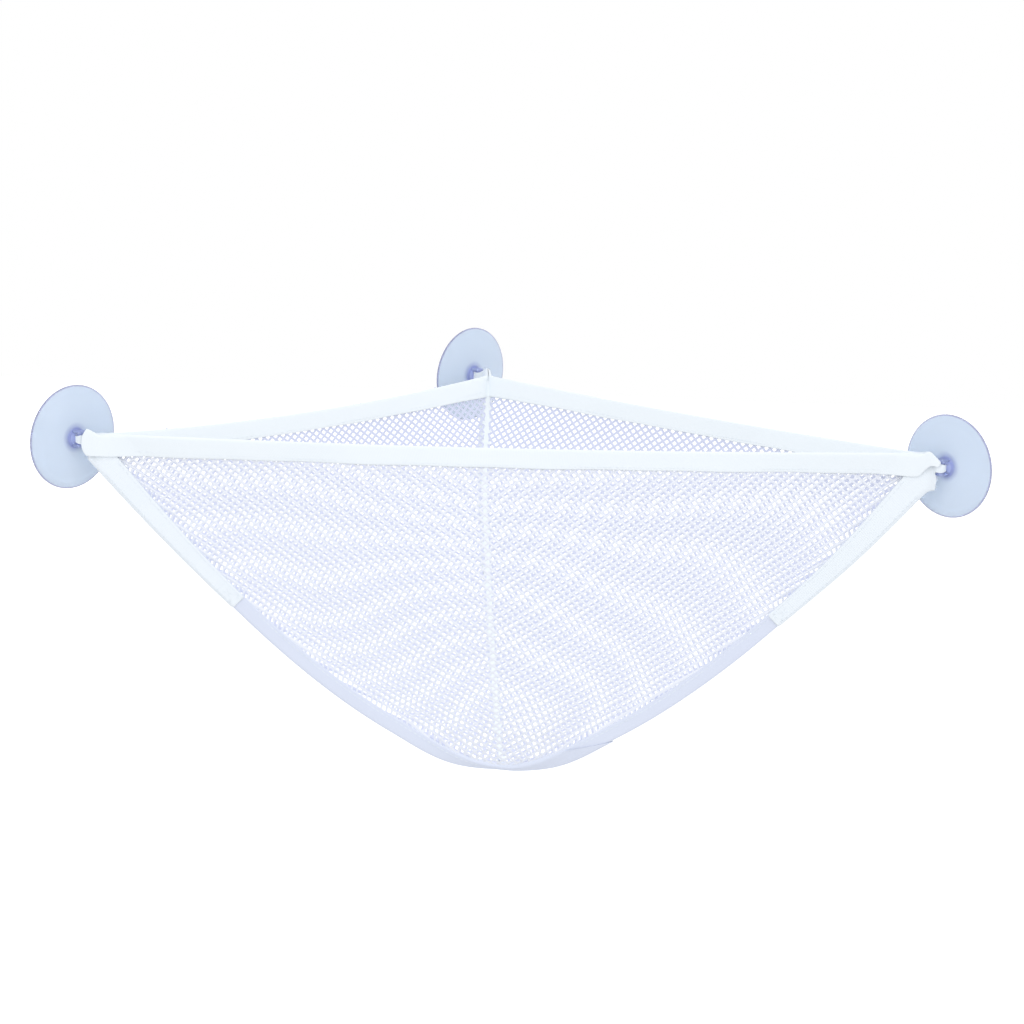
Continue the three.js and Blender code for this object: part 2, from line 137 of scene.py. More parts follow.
# How a strap gathers before the bar, with pleats in its lower half, and how it sways below that.
GATHER_PLACE = 10.0 * MM
GATHER_SPREAD = 6.0 * MM
GATHER_DEPTH = 0.9 * MM
PLEATS = 2.4
SWAY = 0.12 * MM
SWAY_PITCH = 12.0 * MM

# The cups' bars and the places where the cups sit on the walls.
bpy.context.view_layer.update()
BARS = {joint["child"].removesuffix("_cup"): np.array(joint["pos_m"]) for joint in frame["joints"]}
MOUNTS = {mount["name"]: mount for mount in frame["record"]["mounts"]}


def length(name, description, default):
    """A length that a user may change."""
    return FloatProperty(name=name, description=description, default=default, unit="LENGTH", precision=5)


def colour(name, description, default):
    """A colour that a user may change."""
    return FloatVectorProperty(
        name=name, description=description, default=default, subtype="COLOR", size=3, min=0.0, max=1.0
    )


class BagShape(bpy.types.PropertyGroup):
    """The bag's form between its three cups."""

    depth: length("Depth", "From the rim down to the lowest point", 0.202)
    low_x: length("Low point X", "Place of the lowest point across the bag", 0.003)
    low_y: length("Low point Y", "Place of the lowest point from the room's corner", -0.196)
    low_drop: length("Low drop", "How much further the bag hangs at its lowest point", 0.0065)
    lean: FloatProperty(
        name="Lean", description="How far the seams lie back at the low point", default=1.13, subtype="ANGLE"
    )
    rim_lift: length("Rim lift", "Height of the rim's corners above the cups' centres", 0.0018)
    rim_sag: length("Rim sag", "How far the front rim hangs between its corners", 0.0025)
    left_sag: length("Left sag", "How far the left rim hangs between its corners", 0.006)
    right_sag: length("Right sag", "How far the right rim hangs between its corners", 0.001)
    right_lift: length("Right lift", "How far the cloth is drawn up at the right corner", 0.0047)
    back_shift: length("Back shift", "How far the cloth is drawn aside at the back corner", 0.0046)
    lift_depth: length("Lift depth", "How far down the cloth is drawn", 0.070)
    front_swell: length("Front swell", "How far the front panel bellies out", 0.013)
    back_swell: length("Back swell", "How far the two back panels belly out", 0.009)
    loop_reach: length("Loop reach", "From the bag's corner to the cup's bar", 0.013)
    seam_curve: FloatProperty(name="Seam curve", description="Roundness of the bag's seams", default=1.55)


class NetCloth(bpy.types.PropertyGroup):
    """The knitted diamond net."""

    cell_width: length("Cell width", "Width of one diamond", 5.86 * MM)
    cell_height: length("Cell height", "Height of one diamond", 4.75 * MM)
    strand: length("Strand", "Width of a strand of the front panel", 1.33 * MM)
    back_strand: length("Back strand", "Width of a strand of the back panels", 1.6 * MM)
    thickness: length("Thickness", "Thickness of the net", 0.8 * MM)
    allowance: length("Seam allowance", "How far past a seam the net is cut", 5.0 * MM)
    tuck: length("Tuck", "How far past a seam the net reaches", 4.6 * MM)
    tint: colour("Colour", "Colour of the front panel's yarn", (0.87, 0.895, 0.96))
    # The back panels' yarn is the front's cloth; its darker, more lavender colour is painted shade.
    back_tint: colour("Back colour", "Colour of the back panels' yarn", (0.70, 0.735, 0.90))


class TapeCloth(bpy.types.PropertyGroup):
    """The folded bindings, the straps and their thread."""

    rim_width: length("Rim width", "Width of the binding on the rim", 10.2 * MM)
    rim_spread: length("Rim spread", "How much wider the rim's binding is at its ends", 2.0 * MM)
    tail_lap: length("Tail lap", "Where the rim binding's tail lies over the strap", 3.5 * MM)
    tail_stand: length("Tail stand", "How far the tail's end stands off the strap's middle", 4.15 * MM)
    seam_width: length("Seam width", "How far the seam binding stands out", 10.0 * MM)
    seam_gap: length("Seam gap", "From the seam to the binding's edge at the sides", 1.4 * MM)
    back_gap: length("Back gap", "From the seam to the binding's edge at the back", -1.0 * MM)
    back_spread: FloatProperty(name="Back spread", description="How far the back binding opens", default=0.8)
    thickness: length("Thickness", "Thickness of the binding", 0.6 * MM)
    rim_fold: length("Rim fold", "Radius of the rim binding's fold", 1.0 * MM)
    seam_fold: length("Seam fold", "Radius of the seam binding's fold", 1.55 * MM)
    overlap: length("Overlap", "How far the left seam binding laps over the right one", 62.0 * MM)
    strap_width: length("Strap width", "Width of the strap in the cup's eye", 5.2 * MM)
    strap_gap: length("Strap gap", "From the seam to the strap's edge at the sides", 1.2 * MM)
    strap_lap: length("Strap lap", "How far the strap's end stands past the seam binding", 0.8 * MM)
    strap_flare: length("Strap flare", "How far the strap stands past the seam binding at the top", 5.4 * MM)
    right_flare: length("Right flare", "How much further the right strap stands out at the top", 2.2 * MM)
    strap_run: length("Strap run", "Length of strap sewn down the seam", 128.0 * MM)
    strap_thickness: length("Strap thickness", "Thickness of the strap", 0.7 * MM)
    loop_radius: length("Loop radius", "Radius of the strap's turn round the bar", 2.5 * MM)
    stitch: length("Stitch", "Length of one stitch", 2.7 * MM)
    stitch_gap: length("Stitch gap", "Gap between two stitches", 0.8 * MM)
    thread: length("Thread", "Thickness of the thread", 0.4 * MM)
    tint: colour("Rim colour", "Colour of the rim's bindings", (0.885, 0.935, 0.965))
    # The seams' tape is the rim's tape; its darker, bluer colour is painted shade.
    seam_tint: colour("Seam colour", "Colour of the seams' bindings", (0.74, 0.785, 0.905))
    strap_tint: colour("Strap colour", "Colour of the straps", (0.875, 0.925, 0.965))


class CupForm(bpy.types.PropertyGroup):
    """The clear suction cups."""

    width: length("Width", "Width of the disc", 60.0 * MM)
    lip: length("Lip", "Thickness of the disc's edge", 1.3 * MM)
    lip_width: length("Lip width", "Width of the flat ring that meets the wall", 2.6 * MM)
    hollow: length("Hollow", "Depth of the hollow behind the disc", 1.5 * MM)
    wall: length("Wall", "Thickness of the disc at its middle", 2.2 * MM)
    post_width: length("Post width", "Width of the post", 10.4 * MM)
    post_height: length("Post height", "Height of the post from the wall", 4.4 * MM)
    fillet: length("Fillet", "Radius at the foot of the post", 2.0 * MM)
    eye_width: length("Eye width", "Width of the eye's two arms", 5.6 * MM)
    eye_arm: length("Eye arm", "Thickness of the eye's two arms", 1.7 * MM)
    eye_slot: length("Eye slot", "Height of the slot that the strap goes through", 6.0 * MM)
    bar_width: length("Bar width", "Width of the bar in the eye", 3.6 * MM)
    steps: IntProperty(name="Steps", description="Facets round the disc", default=96, min=24)
    tint: colour("Disc colour", "Colour of the disc", (0.705, 0.80, 0.93))
    # Painted shade along the disc's edge.
    edge_shade_tint: colour("Edge colour", "Colour of the disc's edge", (0.45, 0.46, 0.67))
    # Painted shade on the side wall of the post.
    post_shade_tint: colour("Post colour", "Colour round the side of the post", (0.31, 0.37, 0.69))
    eye_tint: colour("Eye colour", "Colour of the eye's arms and the post's top", (0.52, 0.59, 0.91))


class StudioStage(bpy.types.PropertyGroup):
    """The camera, the floor and the light."""

    eye: FloatVectorProperty(
        name="Camera place", description="Where the camera stands", subtype="TRANSLATION",
        default=(-0.040524, -1.998242, 0.384385),
    )
    azimuth: FloatProperty(name="Azimuth", description="Turn of the camera in degrees", default=-1.37187)
    elevation: FloatProperty(name="Elevation", description="Tilt of the camera in degrees", default=13.52293)
    roll: FloatProperty(name="Roll", description="Roll of the camera in degrees", default=2.21998)
    focal_pixels: FloatProperty(name="Focal length", description="Focal length in pixels", default=3120.43)
    frame_pixels: IntProperty(name="Frame", description="Width of the image in pixels", default=1024)
    floor_level: length("Floor level", "Height of the floor", -0.62)
    key: FloatProperty(name="Key", description="Power of the key lamp", default=10.0, unit="POWER")
    fill: FloatProperty(name="Fill", description="Power of the fill lamp", default=5.5, unit="POWER")
    top: FloatProperty(name="Top", description="Power of the top lamp", default=4.0, unit="POWER")
    ambient: FloatProperty(name="Ambient", description="Level of the room's own light", default=0.94)


# The bag's form.

def soft_step(value):
    """A smooth step from nought to one."""
    value = np.clip(value, 0.0, 1.0)
    return value * value * (3.0 - 2.0 * value)


def between(value, start, rise, stop, fall):
    """One between start and stop, with soft ends."""
    return soft_step((value - start) / rise) * soft_step((stop - value) / fall)


def pull(bag, at):
    """How far points of the cloth are drawn: up near the right corner and aside near the back one."""
    outs = {name: Corner(bag, name).out[:2] for name in CORNERS}
    tips = {name: Corner(bag, name).tip[:2] for name in CORNERS}
    flat = at[..., :2] - tips["left"]
    moved = np.zeros_like(at)
    drawn = {"right": ("back", UP * bag.right_lift), "back": ("right", ACROSS * bag.back_shift)}
    for name, (other, way) in drawn.items():
        base = tips[other] - tips["left"]
        span = tips[name] - tips["left"]
        near = (base[0] * flat[..., 1] - base[1] * flat[..., 0]) / (base[0] * span[1] - base[1] * span[0])
        past = (at[..., :2] - tips[name]) @ outs[name] / bag.loop_reach
        share = np.clip(near, 0.0, 1.0) ** PULL_CURVE * soft_step(at[..., 2] / bag.lift_depth + 1.0)
        held = 1.0 - soft_step((past - LET_GO[name]) / LET_GO_SPAN)
        moved += (share * held)[..., None] * way
    return moved


def level_at(bag, share):
    """Height of the bag's wall where its outline has shrunk to a share of the rim's."""
    deeper = bag.low_drop * (1.0 - soft_step(share / DROP_SPAN))
    hang = bag.depth * (1.0 - share ** bag.seam_curve) + deeper
    return bag.rim_lift - hang


class Corner:
    """A corner of the bag: the cup's bar and the upright plane of the seam that runs down from it."""

    def __init__(self, bag, name):
        self.bag = bag
        self.name = name
        self.low = np.array([bag.low_x, bag.low_y, 0.0])
        self.bar_radius = float(np.linalg.norm(BARS[name] - self.low))
        self.out = (BARS[name] - self.low) / self.bar_radius
        self.side = np.cross(UP, self.out)
        self.radius = self.bar_radius - bag.loop_reach
        self.tip = self.low + self.out * self.radius
        self.lean = 0.0 if name == "back" else math.copysign(bag.lean, self.side[1])

    def slope(self, share):
        """Rise of the seam for each step outwards."""
        curve = self.bag.seam_curve
        return self.bag.depth * curve * share ** (curve - 1.0) / self.radius

    def seam(self, share, off):
        """The seam's curve in its own plane, outwards and up, moved out by off."""
        slope = self.slope(share)
        long = np.hypot(slope, 1.0)
        outward = self.radius * share + off * slope / long
        upward = level_at(self.bag, share) - off / long
        return np.stack([outward, upward], -1)

    def fin(self, share):
        """Direction of the seam's fin away from the bag, and the direction beside it."""
        slope = self.slope(share)
        long = np.hypot(slope, 1.0)
        straight = np.multiply.outer(slope / long, self.out) - np.multiply.outer(1.0 / long, UP)
        lean = self.lean * (1.0 - soft_step(share / LEAN_SPAN))[..., None]
        fin = straight * np.cos(lean) + self.side * np.sin(lean)
        beside = self.side * np.cos(lean) - straight * np.sin(lean)
        return fin, beside

    def fold(self, share, rise, aside):
        """Points of a tape folded over the seam: off the seam along its fin, and to either side."""
        share, rise, aside = np.broadcast_arrays(share, rise, aside)
        base = self.seam(share, 0.0)
        fin, beside = self.fin(share)
        at = self.low + base[..., :1] * self.out + base[..., 1:] * UP
        at = at + (rise * self.taper(share))[..., None] * fin + aside[..., None] * beside
        return at + pull(self.bag, at)

    def taper(self, share):
        """How much of the fin's width is left: the back seam's runs out at the low point."""
        if self.name != "back":
            return np.ones_like(share)
        return TAPER_END + (1.0 - TAPER_END) * soft_step(share / TAPER_SPAN)

    def place(self, flat, off):
        """Puts points of the seam's plane in the bag, moved aside by off."""
        flat = np.asarray(flat)
        aside = np.broadcast_to(off, flat.shape[:-1])
        at = self.low + flat[..., :1] * self.out + flat[..., 1:] * UP + aside[..., None] * self.side
        return at + pull(self.bag, at)

    def share_at_run(self, run):
        """The share of the seam that lies a run of cloth below the corner."""
        shares = np.linspace(1.0, 0.02, 800)
        return float(np.interp(run, runs_along(self.seam(shares, 0.0)), shares))


class Panel:
    """A panel of net between two corners, cut flat and then hung."""

    def __init__(self, bag, net, name):
        first, last = PANEL_ENDS[name]
        self.bag = bag
        self.name = name
        self.ends = (Corner(bag, first), Corner(bag, last))
        start, end = self.ends[0].tip, self.ends[1].tip
        self.low = self.ends[0].low
        self.along = (end - start) / np.linalg.norm(end - start)
        foot = start - self.low
        self.start = float(foot @ self.along)
        self.end = self.start + float(np.linalg.norm(end - start))
        foot = foot - self.along * self.start
        self.lean = float(np.linalg.norm(foot))
        self.foot = foot / self.lean
        self.swell = bag.front_swell if name == "front" else bag.back_swell
        self.rim_sag = {"front": bag.rim_sag, "left": bag.left_sag, "right": bag.right_sag}[name]
        self.tuck = net.tuck
        half_ply = net.thickness / 2 + PLY_ROOM
        self.trim = [half_ply / abs(float(np.cross(self.along, corner.out)[2])) for corner in self.ends]
        self.downs = 1.0 - np.linspace(1.0, 0.0, 900) ** 2
        shares = (1.0 - self.downs) ** (1.0 / bag.seam_curve)
        steps = np.hypot(np.diff(self.lean * shares), bag.depth * np.diff(self.downs))
        self.falls = np.concatenate([[0.0], np.cumsum(steps)])
        self.fall = float(self.falls[-1])

    def down_at(self, q):
        """Share of the bag's depth that a run of cloth below the rim has reached."""
        return np.interp(q, self.falls, self.downs)

    def share_at(self, q):
        """Share of the rim's outline that is left a run of cloth below the rim."""
        return (1.0 - self.down_at(q)) ** (1.0 / self.bag.seam_curve)

    def edges(self, q):
        """Where the panel's two seams lie in the flat cut."""
        share = self.share_at(q)
        return self.start * share + self.trim[0], self.end * share - self.trim[1]

    def sag(self, p):
        """How far the rim hangs below the line between its corners."""
        across = (p - self.start) / (self.end - self.start)
        return self.rim_sag * 4.0 * across * (1.0 - across)

    def hang(self, p, q):
        """Hangs points of the flat cut, along the rim and down; past a seam they follow its fin."""
        share = np.maximum(self.share_at(q), 1e-4)
        down = self.down_at(q)
        left, right = self.edges(q)
        inside = np.clip(p, left, np.maximum(left, right))
        across = np.clip((inside / share - self.start) / (self.end - self.start), 0.0, 1.0)
        swell = self.swell * (4.0 * across * (1.0 - across)) ** 2 * 4.0 * down * (1.0 - down)
        at = (self.low + np.multiply.outer(self.lean * share + swell, self.foot)
              + np.multiply.outer(inside, self.along) + np.multiply.outer(level_at(self.bag, share), UP))
        for corner, past in ((self.ends[0], left - p), (self.ends[1], p - right)):
            past = np.maximum(past, 0.0)
            tucked = past * (1.0 + (past / self.tuck) ** 4) ** -0.25
            at += corner.fin(share)[0] * (tucked * corner.taper(share))[..., None]
        return at + pull(self.bag, at)

    def normal(self, p, q):
        """Direction square to the hung cloth, out of the bag."""
        step = 0.4 * MM
        across = self.hang(p + step, q) - self.hang(p - step, q)
        top = np.maximum(q - step, 0.0)
        bottom = np.minimum(q + step, self.fall - step)
        turn = np.cross(across, self.hang(p, bottom) - self.hang(p, top))
        size = np.maximum(np.linalg.norm(turn, axis=-1, keepdims=True), 1e-12)
        outward = turn / size
        return -outward if self.out_sign() < 0 else outward

    def out_sign(self):
        """Whether along, then down, turns out of the bag."""
        return float(np.cross(self.along, -UP) @ self.foot)

    def area(self):
        """Area of the flat cut."""
        q = np.linspace(0.0, self.fall, 400)
        left, right = self.edges(q)
        width = np.maximum(right - left, 0.0)
        return float(np.sum((width[1:] + width[:-1]) / 2 * np.diff(q)))


def bag_panels(scene):
    """The three panels of the bag."""
    return [Panel(scene.bag_shape, scene.bag_net, name) for name in PANEL_ENDS]


def bag_corners(scene):
    """The three corners of the bag."""
    return [Corner(scene.bag_shape, name) for name in CORNERS]


# Ways of making a mesh.

def deselect():
    """Leaves nothing selected, in object mode."""
    if bpy.context.mode != "OBJECT":
        bpy.ops.object.mode_set(mode="OBJECT")
    bpy.ops.object.select_all(action="DESELECT")


def pick(obj):
    """Makes one object the selected and active one."""
    deselect()
    obj.select_set(True)
    bpy.context.view_layer.objects.active = obj


def named(name):
    """Names the object that an operator has just added."""
    obj = bpy.context.object
    obj.name = name
    obj.data.name = name
    return obj


def copy_of(obj, name):
    """A copy of an object with a mesh of its own."""
    pick(obj)
    bpy.ops.object.duplicate()
    return named(name)


@contextmanager
def editing(obj, action="SELECT"):
    """Edit mode on one object, with all or nothing of its mesh selected."""
    pick(obj)
    bpy.ops.object.mode_set(mode="EDIT")
    bpy.ops.mesh.select_all(action=action)
    yield
    bpy.ops.object.mode_set(mode="OBJECT")


def apply_modifiers(obj):
    """Makes the modifiers' result an object's own mesh."""
    pick(obj)
    for modifier in list(obj.modifiers):
        bpy.ops.object.modifier_apply(modifier=modifier.name)


def smooth(obj, angle=None):
    """Shades a piece smooth, all over or only where its faces meet within an angle."""
    pick(obj)
    if angle is None:
        bpy.ops.object.shade_smooth()
    else:
        bpy.ops.object.shade_smooth_by_angle(angle=angle)


def add_grid(name, rows, columns):
    """A flat grid with that many rows and columns of points."""
    deselect()
    bpy.ops.mesh.primitive_grid_add(x_subdivisions=columns - 1, y_subdivisions=rows - 1, size=1.0)
    obj = named(name)
    if len(obj.data.vertices) != rows * columns:
        raise RuntimeError(f"{name}: the grid has {len(obj.data.vertices)} points, not {rows * columns}")
    return obj


def set_points(obj, points):
    """Moves an object's points, in their own order."""
    obj.data.vertices.foreach_set("co", np.asarray(points, np.float32).ravel())
    obj.data.update()


def get_points(obj):
    """The places of an object's points."""
    points = np.empty(len(obj.data.vertices) * 3, np.float32)
    obj.data.vertices.foreach_get("co", points)
    return points.reshape(-1, 3).astype(float)


def set_cut(obj, flat):
    """Lays the flat cut of a cloth, in metres, into its UV map."""
    mesh = obj.data
    layer = mesh.uv_layers.active or mesh.uv_layers.new(name="cut")
    corners = np.empty(len(mesh.loops), np.int32)
    mesh.loops.foreach_get("vertex_index", corners)
    layer.data.foreach_set("uv", np.asarray(flat, np.float32)[corners].ravel())


def runs_along(points):
    """Distance along each line of points, from the line's start."""
    steps = np.linalg.norm(np.diff(points, axis=0), axis=-1)
    return np.concatenate([np.zeros((1,) + steps.shape[1:]), np.cumsum(steps, axis=0)])


def points_at(spots, run, line):
    """Points of a line at given distances along it."""
    return np.stack([np.interp(spots, run, line[:, axis]) for axis in range(line.shape[1])], -1)


def tape_sheet(name, points, thickness, levels=1, closed=False):
    """A tape from its middle surface, given as rows of points: thickened, rounded and smoothed."""
    rows, columns = points.shape[:2]
    obj = add_grid(name, rows, columns)
    set_points(obj, points)
    along = runs_along(points)
    across = runs_along(points.swapaxes(0, 1)).swapaxes(0, 1)
    set_cut(obj, np.stack([along.mean(axis=1, keepdims=True) + 0.0 * along, across], -1).reshape(-1, 2))
    if closed:
        with editing(obj):
            bpy.ops.mesh.remove_doubles(threshold=SAME_POINT)
    wall = obj.modifiers.new("thickness", "SOLIDIFY")
    wall.thickness = thickness
    wall.offset = 0.0
    soften = obj.modifiers.new("soften", "SUBSURF")
    soften.levels = levels
    soften.render_levels = levels
    apply_modifiers(obj)
    smooth(obj)
    return obj


def fold_section(top, bottom, radius, leg_steps=4, turn_steps=6):
    """A tape folded over an edge, seen end on: away from the edge, then aside. The fold lies at bottom."""
    reach = bottom - radius
    leg = np.linspace(top, reach, leg_steps + 1)
    turn = np.linspace(math.pi / 2, -math.pi / 2, turn_steps + 1)[1:-1]
    rise = np.concatenate([leg, reach + radius * np.cos(turn), leg[::-1]])
    aside = np.concatenate([np.full(leg.shape, radius), radius * np.sin(turn), np.full(leg.shape, -radius)])
    return rise, aside


# Finishes.

# The cloths: where their colour is set, ribs and warp threads in a metre, relief and roughness.
CLOTHS = {
    "net_knit": ("bag_net", "tint", 2600.0, 2600.0, 0.2, 0.8),
    # The back net is a copy of the front's finish with painted shade.
    "net_knit_back": ("bag_net", "back_tint", 2600.0, 2600.0, 0.2, 0.8),
    "binding_tape": ("bag_tape", "tint", 1100.0, 1900.0, 0.6, 0.85),
    # The side seams' tape is a copy of the rim's finish with painted shade.
    "seam_tape": ("bag_tape", "seam_tint", 1100.0, 1900.0, 0.6, 0.85),
    "strap_webbing": ("bag_tape", "strap_tint", 800.0, 1500.0, 0.8, 0.8),
    "sewing_thread": ("bag_tape", "strap_tint", 3000.0, 900.0, 0.5, 0.7),
}
# How far a cloth's tint turns down: painted shade in the weave's grooves, and its darker random patches.
CLOTH_SHADE = 0.10
CLOTH_ROUGH_SPREAD = 0.12


def add_node(tree, kind, at=(0, 0), **settings):
    """A new shader node with some of its settings."""
    node = tree.nodes.new(kind)
    node.location = at
    for key, value in settings.items():
        setattr(node, key, value)
    return node


def math_node(tree, operation, *values):
    """A sum on some values, each a number or another node's output."""
    node = add_node(tree, "ShaderNodeMath", operation=operation)
    for socket, value in zip(node.inputs, values):
        if isinstance(value, (int, float)):
            socket.default_value = value
        else:
            tree.links.new(value, socket)
    return node.outputs[0]


def new_group(name, coordinate, values, outputs):
    """An empty shader group that takes a coordinate and some values and puts out values."""
    tree = bpy.data.node_groups.new(name, "ShaderNodeTree")
    tree.interface.new_socket(coordinate, in_out="INPUT", socket_type="NodeSocketVector")
    for label, default in values.items():
        socket = tree.interface.new_socket(label, in_out="INPUT", socket_type="NodeSocketFloat")
        socket.default_value = default
    for label in outputs:
        tree.interface.new_socket(label, in_out="OUTPUT", socket_type="NodeSocketFloat")
    return tree, add_node(tree, "NodeGroupInput"), add_node(tree, "NodeGroupOutput")


def weave_group():
    """Ribs across a tape and finer warp along it, from the flat cut in metres, with a painted shade that
    darkens the grooves between them.
    """
    if "Woven Ribs" in bpy.data.node_groups:
        return bpy.data.node_groups["Woven Ribs"]
    threads = {"Ribs": 900.0, "Warp": 1600.0}
    tree, given, result = new_group("Woven Ribs", "Cut", threads, ("Height", "Shade"))
    split = add_node(tree, "ShaderNodeSeparateXYZ")
    tree.links.new(given.outputs["Cut"], split.inputs[0])
    turns = [math_node(tree, "MULTIPLY", split.outputs[axis], given.outputs[label])
             for axis, label in (("X", "Ribs"), ("Y", "Warp"))]
    waves = [math_node(tree, "ABSOLUTE", math_node(tree, "SINE", math_node(tree, "MULTIPLY", turn, math.pi)))
             for turn in turns]
    height = math_node(tree, "ADD", math_node(tree, "MULTIPLY", waves[0], 0.7),
                       math_node(tree, "MULTIPLY", waves[1], 0.3))
    tree.links.new(height, result.inputs["Height"])
    # The shade output is painted shade, darker where the weave's height is low.
    tree.links.new(math_node(tree, "POWER", height, 0.5), result.inputs["Shade"])
    return tree


def fleck_group():
    """Soft unevenness of a surface, at a large and a small scale."""
    if "Soft Fleck" in bpy.data.node_groups:
        return bpy.data.node_groups["Soft Fleck"]
    scales = {"Large": 30.0, "Small": 900.0}
    tree, given, result = new_group("Soft Fleck", "Place", scales, ("Patches", "Grain"))
    for size, label in (("Large", "Patches"), ("Small", "Grain")):
        noise = add_node(tree, "ShaderNodeTexNoise")
        noise.inputs["Detail"].default_value = 3.0
        tree.links.new(given.outputs["Place"], noise.inputs["Vector"])
        tree.links.new(given.outputs[size], noise.inputs["Scale"])
        tree.links.new(noise.outputs["Fac"], result.inputs[label])
    return tree


def new_material(name):
    """A material with its shader, and the coordinates that its patterns read."""
    material = bpy.data.materials.new(name)
    material.use_nodes = True
    tree = material.node_tree
    return material, tree, tree.nodes["Principled BSDF"], add_node(tree, "ShaderNodeTexCoord", (-1100, 0))


def use_group(tree, group, source, values):
    """Places a shared effect in a material, with its own values."""
    node = add_node(tree, "ShaderNodeGroup", (-800, 0), node_tree=group)
    tree.links.new(source, node.inputs[0])
    for label, value in values.items():
        node.inputs[label].default_value = value
    return node


def shade_mix(tree, factor, dark, light):
    """A colour between two, by a factor."""
    mix = add_node(tree, "ShaderNodeMix", (-350, 200), data_type="RGBA")
    tree.links.new(factor, mix.inputs["Factor"])
    for socket, value in zip([s for s in mix.inputs if s.type == "RGBA"], (dark, light)):
        socket.default_value = (*value, 1.0)
    return next(s for s in mix.outputs if s.type == "RGBA")


def add_relief(tree, shader, height, strength, distance):
    """Bumps a surface by a height."""
    relief = add_node(tree, "ShaderNodeBump", (-300, -300))
    relief.inputs["Strength"].default_value = strength
    relief.inputs["Distance"].default_value = distance
    tree.links.new(height, relief.inputs["Height"])
    tree.links.new(relief.outputs["Normal"], shader.inputs["Normal"])


def darker(tint, share):
    """A tint turned down, the red most, so that shade looks cool."""
    return (tint[0] * (1 - 1.25 * share), tint[1] * (1 - 1.1 * share), tint[2] * (1 - 0.8 * share))


def cloth_material(name, tint, ribs, warp, bump, roughness):
    """White cloth with its weave, painted shade in the weave's grooves and a soft unevenness of tone."""
    material, tree, shader, place = new_material(name)
    weave = use_group(tree, weave_group(), place.outputs["UV"], {"Ribs": ribs, "Warp": warp})
    fleck = use_group(tree, fleck_group(), place.outputs["Object"], {"Large": 26.0, "Small": 1400.0})
    patches = math_node(tree, "MULTIPLY_ADD", fleck.outputs["Patches"], 0.6, 0.2)
    # The tone mixes painted shade in the weave's grooves with random patches.
    tone = math_node(tree, "MULTIPLY", math_node(tree, "ADD", weave.outputs["Shade"], patches), 0.5)
    tree.links.new(shade_mix(tree, tone, darker(tint, CLOTH_SHADE), tint), shader.inputs["Base Color"])
    rough = math_node(
        tree, "MULTIPLY_ADD", fleck.outputs["Grain"], CLOTH_ROUGH_SPREAD, roughness - CLOTH_ROUGH_SPREAD / 2
    )
    tree.links.new(rough, shader.inputs["Roughness"])
    fuzz = math_node(tree, "MULTIPLY", fleck.outputs["Grain"], 0.5)
    add_relief(tree, shader, math_node(tree, "ADD", weave.outputs["Height"], fuzz), bump, 0.12 * MM)
    shader.inputs["Sheen Weight"].default_value = 0.15
    shader.inputs["Specular IOR Level"].default_value = 0.25
    return material


def vinyl_material(cup):
    """Soft clear vinyl: pale over the disc, with painted shade along its edge and round the side and the
    foot of the post.
    """
    material, tree, shader, place = new_material("clear_vinyl")
    split = add_node(tree, "ShaderNodeSeparateXYZ")
    tree.links.new(place.outputs["UV"], split.inputs[0])
    ramp = add_node(tree, "ShaderNodeValToRGB", (-350, 200))
    tree.links.new(split.outputs["X"], ramp.inputs["Fac"])
    rim = cup.width / 2
    foot = cup.post_width / 2 / rim
    # Painted shade round the post: its side wall takes the post's shade colour, and the fillet at its foot a
    # blend of that into the disc's colour.
    fillet_shade = [0.45 * low + 0.55 * high for low, high in zip(cup.post_shade_tint, cup.tint)]
    stops = [
        (foot - 0.05, cup.eye_tint), (foot - 0.015, cup.post_shade_tint), (foot + 0.01, cup.post_shade_tint),
        # The last stop paints shade along the disc's edge.
        (foot + 0.045, fillet_shade), (foot + 0.13, cup.tint), (0.965, cup.tint), (0.99, cup.edge_shade_tint),
    ]
    while len(ramp.color_ramp.elements) < len(stops):
        ramp.color_ramp.elements.new(1.0)
    for element, (position, tint) in zip(ramp.color_ramp.elements, stops):
        element.position = position
        element.color = (*tint, 1.0)
    above = math_node(tree, "SUBTRACT", split.outputs["Y"], cup.post_height / MM)
    above = math_node(tree, "MULTIPLY", above, 4.0)
    above.node.use_clamp = True
    blend = shade_mix(tree, above, cup.tint, cup.eye_tint)
    tree.links.new(ramp.outputs["Color"], next(s for s in blend.node.inputs if s.type == "RGBA"))
    tree.links.new(blend, shader.inputs["Base Color"])
    fleck = use_group(tree, fleck_group(), place.outputs["Object"], {"Large": 40.0, "Small": 300.0})
    rough = math_node(tree, "MULTIPLY_ADD", fleck.outputs["Patches"], 0.14, 0.10)
    tree.links.new(rough, shader.inputs["Roughness"])
    add_relief(tree, shader, fleck.outputs["Patches"], 0.12, 0.2 * MM)
    shader.inputs["Transmission Weight"].default_value = 0.5
    shader.inputs["IOR"].default_value = 1.4
    shader.inputs["Specular IOR Level"].default_value = 0.35
    return material


def material_for(name, scene):
    """The finish of that name, made at its first use."""
    if name in bpy.data.materials:
        return bpy.data.materials[name]
    if name not in CLOTHS:
        return vinyl_material(scene.bag_cup)
    group, tint, *weave = CLOTHS[name]
    return cloth_material(name, getattr(getattr(scene, group), tint), *weave)


def dress(obj, material, slot, body, *nodes):
    """Gives a piece its finish and its body, and hides the solids that it stands for."""
    obj.data.materials.clear()
    obj.data.materials.append(material)
    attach(obj, body)
    if nodes:
        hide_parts(*nodes)
    return obj


# Net.

# How far from its edges a net lies still, and how far it drifts and billows in its middle.
STILL_EDGE = 30.0 * MM
DRIFT = 0.35 * MM
BILLOW = 0.55 * MM

# How far below the rim and above the low point the net is cut.
TOP_MARGIN = 1.5 * MM
LOW_MARGIN = 3.0 * MM


